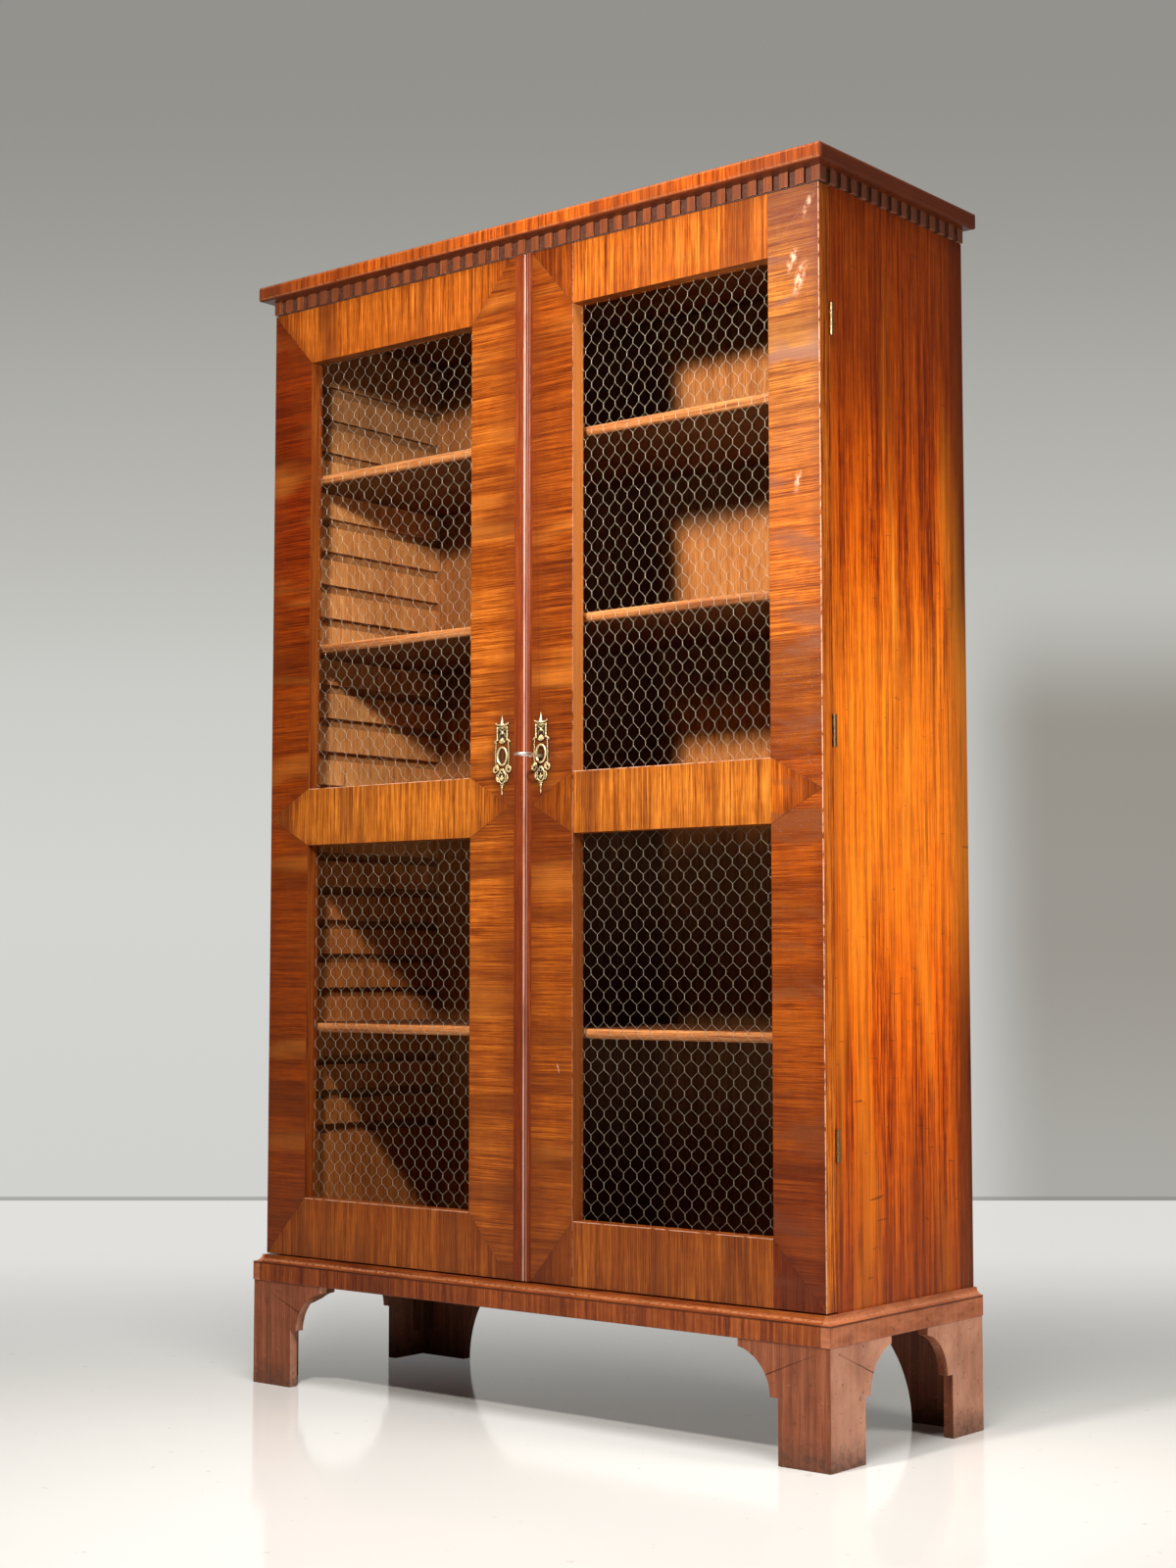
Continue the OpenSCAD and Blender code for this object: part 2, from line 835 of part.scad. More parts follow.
module mitre(a, b) {
    bar(a, b, glue_line, 1);
}

module door_veneers(side) {
    color(veneer) placed() on_side(side) difference() {
        front_plate(0, door_veneer_t) veneer_sheet(side);
        if (side == right) keyhole(-1, door_veneer_t + 2);
    }
}

// Netting: rows of six-sided cells, each row shifted by half a cell

// Outline of one cell's gap; cuts name the sides where the frame halves it
function cell_gap(x, z, half_w, half_h, shoulder, cut) = [
    if (cut != "left" && cut != "low") [x - half_w, z - shoulder],
    if (cut == "low") [x - half_w, z],
    if (cut != "left" && cut != "high") [x - half_w, z + shoulder],
    if (cut == "high") [x - half_w, z],
    if (cut != "high") [x, z + half_h],
    if (cut == "high") [x + half_w, z],
    if (cut != "right" && cut != "high") [x + half_w, z + shoulder],
    if (cut != "right" && cut != "low") [x + half_w, z - shoulder],
    if (cut == "low") [x + half_w, z],
    if (cut != "low") [x, z - half_h]
];

module netting(opening) {
    w = opening_out - opening_in;
    h = opening[1] - opening[0];
    pitch = w / net_columns;
    rows = 2 * round(h / (net_twist + pitch * net_rise) / 2);
    row_h = h / rows;
    slope = atan2(row_h - net_twist, pitch / 2);
    half_w = (pitch - net_wire) / 2;
    half_h = row_h - net_twist / 2 - net_wire / 2 / cos(slope);
    shoulder = half_h - half_w * tan(slope);
    gaps = [
        for (row = [0 : rows])
            let (even = row % 2 == 0, count = even ? net_columns - 1 : net_columns)
            for (k = [0 : count])
                let (
                    x = opening_in + (k + (even ? 0.5 : 0)) * pitch,
                    z = opening[0] + row * row_h,
                    cut = row == 0 ? "low" : row == rows ? "high"
                        : !even && k == 0 ? "left" : !even && k == net_columns ? "right" : "none"
                )
                cell_gap(x, z, half_w, half_h, shoulder, cut)
    ];
    frame = [
        [opening_in - net_border, opening[0] - net_border],
        [opening_out + net_border, opening[0] - net_border],
        [opening_out + net_border, opening[1] + net_border],
        [opening_in - net_border, opening[1] + net_border]
    ];
    loops = concat([frame], gaps);
    sizes = [for (loop = loops) len(loop)];
    starts = [for (n = 0, i = 0; i < len(loops); n = n + sizes[i], i = i + 1) n];
    points = [for (loop = loops) each loop];
    paths = [for (i = [0 : len(loops) - 1]) [for (j = [0 : sizes[i] - 1]) starts[i] + j]];
    polygon(points, paths);
}

module net(side, opening) {
    color(wire) placed() on_side(side) front_plate(reveal, net_t) netting(opening);
}

// Beads that hold the netting in its rebate

// Section with the rounded corner at the opening and the door back
module bead_section() {
    t = door_t - reveal - net_t;
    w = bead_section_w;
    square([w, t - bead_r]);
    translate([bead_r, 0]) square([w - bead_r, t]);
    translate([bead_r, t - bead_r]) circle(bead_r);
}

module opening_beads(opening) {
    y = reveal + net_t;
    w = bead_section_w;
    length = opening[1] - opening[0] + 2 * w;
    x0 = opening_in + glue_line;
    short = opening_out - opening_in - 2 * glue_line;
    translate([opening_out, y, opening[0] - w]) linear_extrude(length) bead_section();
    translate([opening_in, y, opening[0] - w])
        linear_extrude(length) mirror([1, 0]) bead_section();
    translate([0, y, opening[1]]) side_plate(x0, short) mirror([1, -1]) bead_section();
    translate([0, y, opening[0]])
        side_plate(x0, short) mirror([0, 1]) mirror([1, -1]) bead_section();
}

module net_beads(side) {
    color(mahogany) placed() on_side(side) for (opening = openings) opening_beads(opening);
}

// Meeting edges

module left_meeting_strip() {
    x0 = strike_x - strip_w;
    r = strip_r;
    color(mahogany) placed() translate([0, 0, door_z0]) linear_extrude(door_z1 - door_z0) {
        translate([x0, -strip_proud]) square([strip_w - r, strip_proud + door_veneer_t]);
        intersection() {
            translate([strike_x - r, -strip_proud + r]) circle(r);
            translate([strike_x - r - 1, -strip_proud]) square([r + 1, strip_proud + door_veneer_t]);
        }
    }
}

module right_meeting_bead() {
    r = bead_w / 2;
    x = meet_u(right) + r;
    front = -strip_proud;
    color(mahogany) placed() translate([0, 0, door_z0]) linear_extrude(door_z1 - door_z0)
        intersection() {
            translate([x - r, front]) square([bead_w, door_veneer_t - front]);
            union() {
                translate([x, front + r]) circle(r);
                translate([x - r, front + r]) square([bead_w, 2 * r]);
            }
        }
}

// Lock, key and strike

// Hole for the key through stile and veneer: a slot with a round top
module keyhole(y0, t) {
    front_plate(y0, t) translate([key_x, key_z]) {
        circle(keyhole_slot / 2);
        translate([-keyhole_slot / 2, 0]) square([keyhole_slot, keyhole_up]);
        translate([0, keyhole_up]) circle(keyhole_r);
    }
}

module left_meeting_stile() {
    color(mahogany) placed() difference() {
        on_side(left) plain_meeting_stile(left);
        box([strike_x - plate_t, strike_x + 1], [lock_y0, door_t + 1],
            [bolt_low_z - plate_over, bolt_top_z + plate_over]);
        box([strike_x - lock_throw - 1, strike_x],
            [chamber_y0 - strike_room / 2, chamber_y1 + strike_room / 2],
            [bolt_low_z - strike_room, bolt_top_z + strike_room]);
    }
}

module strike_plate() {
    color(brass) placed() difference() {
        box([strike_x - plate_t, strike_x], [lock_y0, door_t],
            [bolt_low_z - plate_over, bolt_top_z + plate_over]);
        box([strike_x - plate_t - 1, strike_x + 1], [chamber_y0, chamber_y1],
            [bolt_low_z - strike_room, bolt_top_z + strike_room]);
    }
}

module right_meeting_stile() {
    color(mahogany) placed() difference() {
        plain_meeting_stile(right);
        box([chamber_x0 - 1, chamber_x1 + plate_side], [lock_y0, door_t + 1],
            [chamber_z0 - plate_side, chamber_z1 + plate_side]);
        box([meet_u(right) - 1, chamber_x0], [lock_y0, door_t + 1],
            [chamber_z0 - plate_over, chamber_z1 + plate_over]);
        keyhole(-1, lock_y0 + 2);
    }
}

// Box let into the door's back: front plate, four walls and the face plate on the door's edge
module lock_case() {
    color(steel) placed() difference() {
        union() {
            box([chamber_x0 - eps, chamber_x1 + plate_side], [lock_y0, chamber_y1],
                [chamber_z0 - plate_side, chamber_z1 + plate_side]);
            box([meet_u(right), chamber_x0], [lock_y0, door_t],
                [chamber_z0 - plate_over, chamber_z1 + plate_over]);
        }
        box([chamber_x0, chamber_x1], [chamber_y0, door_t + 1], [chamber_z0, chamber_z1]);
        box([meet_u(right) - 1, chamber_x0 + 1], [chamber_y0, chamber_y1],
            [chamber_z0, bolt_top_z + lock_room]);
        translate([key_x, 0, key_z]) {
            translate([0, lock_y0 - 1, 0]) rotate([-90, 0, 0])
                cylinder(r = shank_r + shank_fit, h = plate_t + 2);
            box([-bit_t / 2 - lock_room, bit_t / 2 + lock_room], [lock_y0 - 1, chamber_y0 + 1],
                [0, bit_reach + lock_room]);
        }
    }
}

module lock_cover() {
    color(steel) placed() difference() {
        box([chamber_x0, chamber_x1 + plate_side], [chamber_y1, lock_back],
            [chamber_z0 - plate_side, chamber_z1 + plate_side]);
        translate([key_x, chamber_y1 - 1, key_z]) rotate([-90, 0, 0])
            cylinder(r = pilot_r + shank_fit, h = plate_t + 2);
    }
}

// Flat bolt under the key; the bit sweeps through the notch in its upper edge
module lock_bolt() {
    notch_x = key_x + lock_throw / 2;
    color(brass) placed() difference() {
        box([lock_head_x, lock_tail_x],
            [chamber_y0 + lock_room, chamber_y1 - lock_room], [bolt_low_z, bolt_top_z]);
        box([notch_x - notch_w / 2, notch_x + notch_w / 2], [chamber_y0, chamber_y1],
            [bolt_top_z - notch_d, bolt_top_z + 1]);
    }
}

// Ring bow, collar, shank, bit and pilot, along the shank's axis from the front
module key() {
    bow_y = -key_out + bow_r + bow_wire_r;
    neck_y = bow_y + bow_r;
    bit_y0 = chamber_y0 + lock_room + bit_play;
    bit_y1 = chamber_y1 - lock_room - bit_play;
    ward_y = (bit_y0 + bit_y1) / 2;
    shank_y1 = chamber_y1 - bit_play;
    color(steel) placed() translate([key_x, 0, key_z]) difference() {
        union() {
            translate([0, bow_y, 0]) rotate_extrude() translate([bow_r, 0]) circle(bow_wire_r);
            translate([0, neck_y, 0]) rotate([-90, 0, 0]) {
                cylinder(r = shank_r, h = shank_y1 - neck_y);
                cylinder(r = pilot_r, h = lock_back - neck_y);
                cylinder(r1 = shank_r, r2 = collar_r, h = collar_cone);
                translate([0, 0, collar_cone]) cylinder(r = collar_r, h = collar_l);
                translate([0, 0, collar_cone + 2 * collar_l]) cylinder(r = ring_r, h = ring_l);
            }
            box([0, bit_reach], [bit_y0, bit_y1], [-bit_t / 2, bit_t / 2]);
        }
        box([bit_reach - ward_d, bit_reach + 1], [ward_y - ward_w / 2, ward_y + ward_w / 2],
            [-bit_t, bit_t]);
    }
}

// Door bolts

// Children stand at the upper end of the left door's back; half 1 is up and -1 is down
module at_bolt(half) {
    middle = (bottom_top + top_under) / 2;
    translate([bolt_x, 0, middle]) mirror([0, 0, half > 0 ? 0 : 1])
        translate([0, 0, top_under - middle - bolt_start]) children();
}

module door_bolt(half) {
    color(brass) placed() at_bolt(half) {
        translate([0, bolt_y, -bolt_l]) cylinder(r = bolt_r, h = bolt_l);
        translate([0, bolt_y, bolt_knob_up - bolt_l]) rotate([-90, 0, 0])
            cylinder(r = bolt_knob_r, h = bolt_r + bolt_knob_l);
    }
}

module bolt_guide() {
    strap_r = bolt_r + strap_wall;
    difference() {
        union() {
            translate([-guide_w / 2, door_t, -guide_h]) cube([guide_w, guide_plate_t, guide_h]);
            for (z = [-guide_h, -strap_h]) translate([0, 0, z]) {
                translate([0, bolt_y, 0]) cylinder(r = strap_r, h = strap_h);
                translate([-strap_r, door_t + guide_plate_t - eps, 0])
                    cube([2 * strap_r, bolt_y - door_t - guide_plate_t, strap_h]);
            }
        }
        translate([0, bolt_y, -guide_h - 1]) cylinder(r = bolt_r + bolt_fit, h = guide_h + 2);
    }
}

module bolt_guides() {
    color(brass) placed() for (half = [1, -1]) at_bolt(half) translate([0, 0, -guide_drop]) bolt_guide();
}

// Escutcheons, drawn round the oval's centre

module both_ways() {
    children();
    mirror([1, 0]) children();
}

module oval(w, h) {
    polygon([for (a = [0 : 10 : 350]) [w / 2 * cos(a), h / 2 * sin(a)]]);
}

// Pairs of ear, neck bar, side, scroll and lobe, one outline for the ground and the relief
module escutcheon_work(grow) {
    both_ways() {
        bar([9.6, 49], [10.6, 24], 3.2 + grow);
        bar([12.4, 24], [13.8, 4], 3.4 + grow);
        bar([13.8, 6], [12.4, -17], 3.4 + grow);
        bar([10, 24], [16, 22], 2.4 + grow);
        translate([16, 22]) circle(2.4 + grow / 2);
        translate([13, -22]) difference() {
            circle(6.4 + grow / 2);
            circle(2.6 - grow / 2);
        }
        bar([8, -26], [11, -42], 3.4 + grow);
        translate([10.6, -43.5]) circle(3.4 + grow / 2);
        bar([0, -27], [9, -44], 2.2 + grow);
        bar([-8.6, 47], [4, 29], 1.8 + grow);
        translate([13.4, 51.4]) circle(2.6 + grow / 2);
        bar([0, 51.5], [13, 52], 4.4 + grow);
    }
    difference() {
        oval(oval_w + 2 * oval_rim, oval_h + 2 * oval_rim);
        oval(oval_w, oval_h);
    }
    bar([0, oval_h / 2 + 1], [0, 27], 4 + grow);
    translate([0, 26]) circle(5 + grow / 2);
    bar([-10, -44], [10, -44], 2.6 + grow);
    translate([0, -45]) circle(4.2 + grow / 2);
}

module spear(z, tip, w) {
    polygon([[-w / 2, z], [w / 2, z], [w / 4, (z + tip) / 2], [w / 5, tip], [-w / 5, tip],
             [-w / 4, (z + tip) / 2]]);
}

module escutcheon(x) {
    z = key_z + oval_up;
    color(brass) placed() translate([x, 0, z]) {
        difference() {
            front_plate(-escutcheon_t, escutcheon_t) {
                escutcheon_work(ground_edge);
                oval(oval_w + oval_rim, oval_h + oval_rim);
                spear(neck_z, finial_z + ground_edge, spear_w + 2 * ground_edge);
                spear(drop_neck_z + ground_edge, drop_z - ground_edge, drop_w + 2 * ground_edge);
                translate([0, finial_z + ground_edge]) circle(finial_r);
                translate([0, drop_knob_z]) circle(drop_knob_r);
            }
            translate([-key_x, 0, -z]) keyhole(-relief_t - 1, relief_t + 2);
        }
        front_plate(-relief_t, relief_t - escutcheon_t + eps) {
            escutcheon_work(0);
            spear(neck_z, finial_z, spear_w);
            spear(drop_neck_z, drop_z, drop_w);
        }
    }
}

cornice_top();
dentil_front();
dentil_side(left);  // dentil_left
dentil_side(right);  // dentil_right
frieze_rail();
case_top();
case_bottom();
case_side(left);  // side_left
case_side(right);  // side_right
side_veneers();
back_boards();
shelf(top_groove);  // shelf_top
shelf(upper_groove);  // shelf_upper
shelf(middle_groove);  // shelf_middle
shelf(lower_groove);  // shelf_lower
shelf_lippings();
base_cove();
base_fascia();
base_rail_back();
foot_front(left);  // foot_front_left
foot_front(right);  // foot_front_right
foot_back(left);  // foot_back_left
foot_back(right);  // foot_back_right
glue_blocks();
case_hinge_leaves();
hinge_pins();
hinge_stile(left);  // left_hinge_stile
left_meeting_stile();
door_rail(left, rails[2]);  // left_top_rail
door_rail(left, rails[1]);  // left_middle_rail
door_rail(left, rails[0]);  // left_bottom_rail
door_veneers(left);  // left_veneers
net(left, openings[1]);  // left_upper_net
net(left, openings[0]);  // left_lower_net
net_beads(left);  // left_net_beads
left_meeting_strip();
escutcheon(strike_x - left_escutcheon_in);  // left_escutcheon
door_hinge_leaves(left);  // left_hinge_leaves
strike_plate();
bolt_guides();
door_bolt(1);  // upper_bolt
door_bolt(-1);  // lower_bolt
hinge_stile(right);  // right_hinge_stile
right_meeting_stile();
door_rail(right, rails[2]);  // right_top_rail
door_rail(right, rails[1]);  // right_middle_rail
door_rail(right, rails[0]);  // right_bottom_rail
door_veneers(right);  // right_veneers
net(right, openings[1]);  // right_upper_net
net(right, openings[0]);  // right_lower_net
net_beads(right);  // right_net_beads
right_meeting_bead();
escutcheon(key_x);  // right_escutcheon
door_hinge_leaves(right);  // right_hinge_leaves
lock_case();
lock_cover();
lock_bolt();
key();
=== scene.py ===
import math

import bpy
import numpy as np
from mathutils import Matrix, Vector


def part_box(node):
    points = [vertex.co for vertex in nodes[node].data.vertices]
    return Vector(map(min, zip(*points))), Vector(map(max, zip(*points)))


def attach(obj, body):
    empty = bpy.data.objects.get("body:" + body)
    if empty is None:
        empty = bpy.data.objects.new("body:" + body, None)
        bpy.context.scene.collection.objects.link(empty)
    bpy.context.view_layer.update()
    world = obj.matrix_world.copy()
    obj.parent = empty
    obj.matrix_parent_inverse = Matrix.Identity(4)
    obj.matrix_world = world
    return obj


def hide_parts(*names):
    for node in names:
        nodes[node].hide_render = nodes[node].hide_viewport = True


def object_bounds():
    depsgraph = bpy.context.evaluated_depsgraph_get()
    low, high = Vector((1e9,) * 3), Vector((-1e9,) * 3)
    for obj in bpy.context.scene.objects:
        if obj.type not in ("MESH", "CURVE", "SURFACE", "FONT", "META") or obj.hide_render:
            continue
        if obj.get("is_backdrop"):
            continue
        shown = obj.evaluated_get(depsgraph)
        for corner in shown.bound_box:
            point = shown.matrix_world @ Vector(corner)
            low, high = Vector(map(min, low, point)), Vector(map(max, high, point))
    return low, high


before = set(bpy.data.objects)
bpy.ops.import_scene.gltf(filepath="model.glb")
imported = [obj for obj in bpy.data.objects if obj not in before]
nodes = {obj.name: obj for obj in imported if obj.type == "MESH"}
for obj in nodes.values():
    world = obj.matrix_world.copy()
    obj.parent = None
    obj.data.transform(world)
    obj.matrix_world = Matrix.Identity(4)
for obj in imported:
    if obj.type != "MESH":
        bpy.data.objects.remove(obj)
cadLow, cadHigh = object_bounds()
scene = bpy.context.scene
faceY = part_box("right_veneers")[0].y  # front of both doors
mm = 0.001
print("frame loaded,", len(nodes), "nodes")


# shading tools

class Signal:
    # one output in a node tree; written as a number, it adds its own Math nodes
    def __init__(self, shade, socket):
        self.shade, self.socket = shade, socket

    def math(self, operation, *values):
        return self.shade.node("ShaderNodeMath", [self, *values], operation=operation)

    def most(self, other):
        return self.math("MAXIMUM", other)

    def least(self, other):
        return self.math("MINIMUM", other)

    def __add__(self, other):
        return self.math("ADD", other)

    def __sub__(self, other):
        return self.math("SUBTRACT", other)

    def __mul__(self, other):
        return self.math("MULTIPLY", other)

    def __truediv__(self, other):
        return self.math("DIVIDE", other)

    def __rsub__(self, other):
        return self.shade.node("ShaderNodeMath", [other, self], operation="SUBTRACT")

    def __abs__(self):
        return self.math("ABSOLUTE")

    __radd__ = __add__
    __rmul__ = __mul__


class Shade:
    # a node tree in the making, with the place on the piece and the colour so far
    def __init__(self, tree, kind="Object"):
        self.tree = tree
        tree.nodes.clear()
        self.spot = self.place(kind)
        self.colour = None

    def node(self, kind, values=(), out=0, stops=(), **settings):
        made = self.tree.nodes.new(kind)
        for key, value in settings.items():
            setattr(made, key, value)
        if stops:
            steps = made.color_ramp.elements
            steps[0].position, steps[1].position = stops[0][0], stops[-1][0]
            for place, colour in stops[1:-1]:
                steps.new(place)
            for step, (place, colour) in zip(steps, stops):
                step.color = (*colour, 1)
        for key, value in (values.items() if isinstance(values, dict) else enumerate(values)):
            self.put(made.inputs[key], value)
        return Signal(self, made.outputs[out]) if len(made.outputs) else made

    def put(self, socket, value):
        if isinstance(value, Signal):
            self.tree.links.new(value.socket, socket)
        elif socket.type == "RGBA" and len(value) == 3:
            socket.default_value = (*value, 1)
        else:
            socket.default_value = value

    def place(self, kind):
        vector = self.node("ShaderNodeTexCoord", (), kind)
        first = self.node("ShaderNodeSeparateXYZ", [vector])
        return [Signal(self, out) for out in first.socket.node.outputs]

    def vector(self, x, y, z):
        return self.node("ShaderNodeCombineXYZ", [x, y, z])

    def noise(self, x, y, z, detail=2.0, roughness=0.5, distortion=0.0):
        values = {"Vector": self.vector(x, y, z), "Scale": 1.0, "Detail": detail,
                  "Roughness": roughness, "Distortion": distortion}
        return self.node("ShaderNodeTexNoise", values)

    def cloud(self, level, upright, detail, roughness):
        # noise over the piece, with one scale for x and y and one for z
        x, y, z = self.spot
        return self.noise(x * level, y * level, z * upright, detail, roughness)

    def fade(self, value, low, high, start=0.0, end=1.0):
        values = {"Value": value, "From Min": low, "From Max": high, "To Min": start, "To Max": end}
        return self.node("ShaderNodeMapRange", values, interpolation_type="SMOOTHSTEP")

    def past(self, value, edge, width=0.0002):
        # hard edge: one beyond it; a negative width turns it round
        return self.fade(value, edge, edge + width)

    def ramp(self, value, stops):
        return self.node("ShaderNodeValToRGB", [value], stops=stops)

    def blend(self, amount, first, second, how="MIX"):
        values = {0: amount, 6: first, 7: second}
        return self.node("ShaderNodeMix", values, 2, data_type="RGBA", blend_type=how)

    def coat(self, amount, tone, how="MIX"):
        # one more layer over the colour so far
        self.colour = self.blend(amount, self.colour, tone, how)

    def tint(self, amount, tone):
        self.coat(amount, tone, "MULTIPLY")

    def pick(self, amount, first, second):
        return self.node("ShaderNodeMix", {0: amount, 2: first, 3: second}, data_type="FLOAT")

    def surface(self, roughness, height=None, lift=0.0002, strength=0.6, **constants):
        values = {"Base Color": self.colour, "Roughness": roughness, "Specular IOR Level": 0.26}
        values.update({key.replace("_", " "): value for key, value in constants.items()})
        if height is not None:
            bump = {"Strength": strength, "Distance": lift, "Height": height}
            values["Normal"] = self.node("ShaderNodeBump", bump)
        shader = self.node("ShaderNodeBsdfPrincipled", values)
        self.node("ShaderNodeOutputMaterial", [shader])


def newFinish(name, recipe, *settings):
    # material whose shading a recipe works out from the place on the piece
    material = bpy.data.materials.new(name)
    material.use_nodes = True
    shade = Shade(material.node_tree)
    recipe(shade, *shade.spot, *settings)
    return material


# wood

mahogany = {
    "dark": (0.11, 0.018, 0.004), "mid": (0.27, 0.056, 0.009), "light": (0.42, 0.11, 0.02),
    "smoke": (0.08, 0.018, 0.006), "stripes": 110, "streak": 0.42, "run": 2.6, "fine": 0.3, "dashes": 0.26,
    "bands": 14, "smoky": 0.45, "ripple": 50, "rippled": 0.08, "waver": 0.006, "gloss": 0.34, "pores": 0.35,
}
figured = dict(mahogany, dark=(0.12, 0.02, 0.002), mid=(0.35, 0.076, 0.006), light=(0.6, 0.17, 0.018),
               smoke=(0.11, 0.022, 0.005), stripes=120, streak=0.3, run=2.4, fine=0.42, dashes=0.24, bands=15,
               smoky=0.6, ripple=60, rippled=0.05, waver=0.003)
sideLook = dict(mahogany, dark=(0.13, 0.012, 0.001), mid=(0.49, 0.084, 0.002), light=(0.8, 0.185, 0.006),
                smoke=(0.13, 0.016, 0.001), stripes=90, streak=0.56, run=1.1, fine=0.62, dashes=0.24, bands=9,
                smoky=0.46, waver=0.008)
bareWood = dict(mahogany, dark=(0.34, 0.112, 0.028), mid=(0.66, 0.28, 0.085), light=(0.82, 0.42, 0.16),
                smoke=(0.28, 0.105, 0.028), streak=0.22, fine=0.16, dashes=0.3, smoky=0.2, rippled=0.04,
                gloss=0.62, pores=0.25)
blockLook = dict(bareWood, dark=(0.09, 0.032, 0.012), mid=(0.17, 0.068, 0.028), light=(0.26, 0.12, 0.055))
lippingLook = dict(figured, dark=(0.22, 0.06, 0.014), mid=(0.48, 0.17, 0.045), light=(0.64, 0.27, 0.09),
                   gloss=0.5)
footLook = dict(mahogany, dark=(0.12, 0.03, 0.011), mid=(0.215, 0.052, 0.019), light=(0.33, 0.102, 0.042),
                smoky=0.2, gloss=0.46)


def wood(shade, along, across, depth, look):
    # colour, relief and mottle of a board whose grain runs along one axis
    bend = shade.noise(along * 2.3, across * 6, depth * 6, 1)
    bent = across + (bend - 0.5) * look["waver"]

    def figure(wide, long, detail=2, roughness=0.6, shift=0):
        # noise with so many swings to the metre across and along the grain
        moved = along * long + shift if shift else along * long
        return shade.noise(bent * wide, moved, depth * wide, detail, roughness)

    stripes = figure(look["stripes"], look["run"], 3)
    fine = figure(560, 7)
    bands = figure(look["bands"], 1.6, 2, 0.55, 3.1)
    ripple = figure(26, look["ripple"])
    dashes = figure(620, 24, 2, 0.65)
    shade.mottle = figure(420, 150, 1)
    pores = shade.fade(figure(1500, 75, 1, 0.5), 0.6, 0.74)
    tone = (stripes - 0.5) * look["streak"] + (fine - 0.5) * look["fine"] + (dashes - 0.5) * look["dashes"]
    tone = tone + (ripple - 0.5) * look["rippled"] + 0.5
    shade.colour = shade.ramp(tone, [(0.408, look["dark"]), (0.5, look["mid"]), (0.592, look["light"])])
    shade.coat(shade.fade(bands, 0.5, 0.66) * look["smoky"], look["smoke"])
    shade.tint(pores * look["pores"], look["dark"])
    shade.relief = dashes * 0.5 - pores * 0.8 + stripes * 0.3
    shade.look = look


def polish(shade, duller=None):
    # ends a wooden finish with hazy old polish, duller where asked
    hazy = shade.cloud(9, 9, 3, 0.6)
    roughness = shade.look["gloss"] + (hazy - 0.5) * 0.22 - shade.relief * 0.05
    if duller is not None:
        roughness = roughness + duller
    shade.surface(roughness, shade.relief)


def edges(shade):
    # arrises: where the softened edge faces none of the main directions
    nx, ny, nz = shade.place("Normal")
    most = abs(nx).most(abs(ny)).most(abs(nz))
    return shade.fade(1 - most, 0.06, 0.3)


def wear(shade, amount, tone, start=0.3, end=0.6):
    # arrises rubbed paler in broken patches
    shade.coat(edges(shade) * amount * shade.fade(shade.mottle, start, end), tone)


def board(shade, x, y, z, look, axis, worn=0.5):
    # plain board with its grain along x or z
    along, across = (x, z) if axis == "x" else (z, x)
    wood(shade, along, across, y, look)
    patina = shade.cloud(5, 5, 3, 0.6)
    shade.coat(shade.fade(patina, 0.35, 0.8, 0.0, 0.35), look["dark"])
    wear(shade, worn, look["light"], 0.35)
    polish(shade)


doorPlan = {
    "outer": 0.4933, "inner": 0.11, "stile": 0.0927, "meeting": 0.087, "top": 1.7885, "topRail": 0.099,
    "low": 0.3225, "lowRail": 0.1005, "middle": 0.9811, "midHalf": 0.0494,
    "lines": 0.0006, "lockX": 0.0447, "blindX": -0.0385, "lockZ": 1.062, "jamb": 0.1105, "edge": 0.585,
    "brink": (0.5842, 0.5856),
}
# pale scuffs on the right door: x, z, lean, half length, half width
scuffs = [
    (0.538, 1.778, 1.15, 0.026, 0.01), (0.551, 1.748, 1.2, 0.034, 0.012),
    (0.566, 1.856, 1.1, 0.024, 0.0075), (0.545, 1.44, 1.35, 0.022, 0.0075),
    (0.08, 0.56, 1.9, 0.012, 0.0016),
]


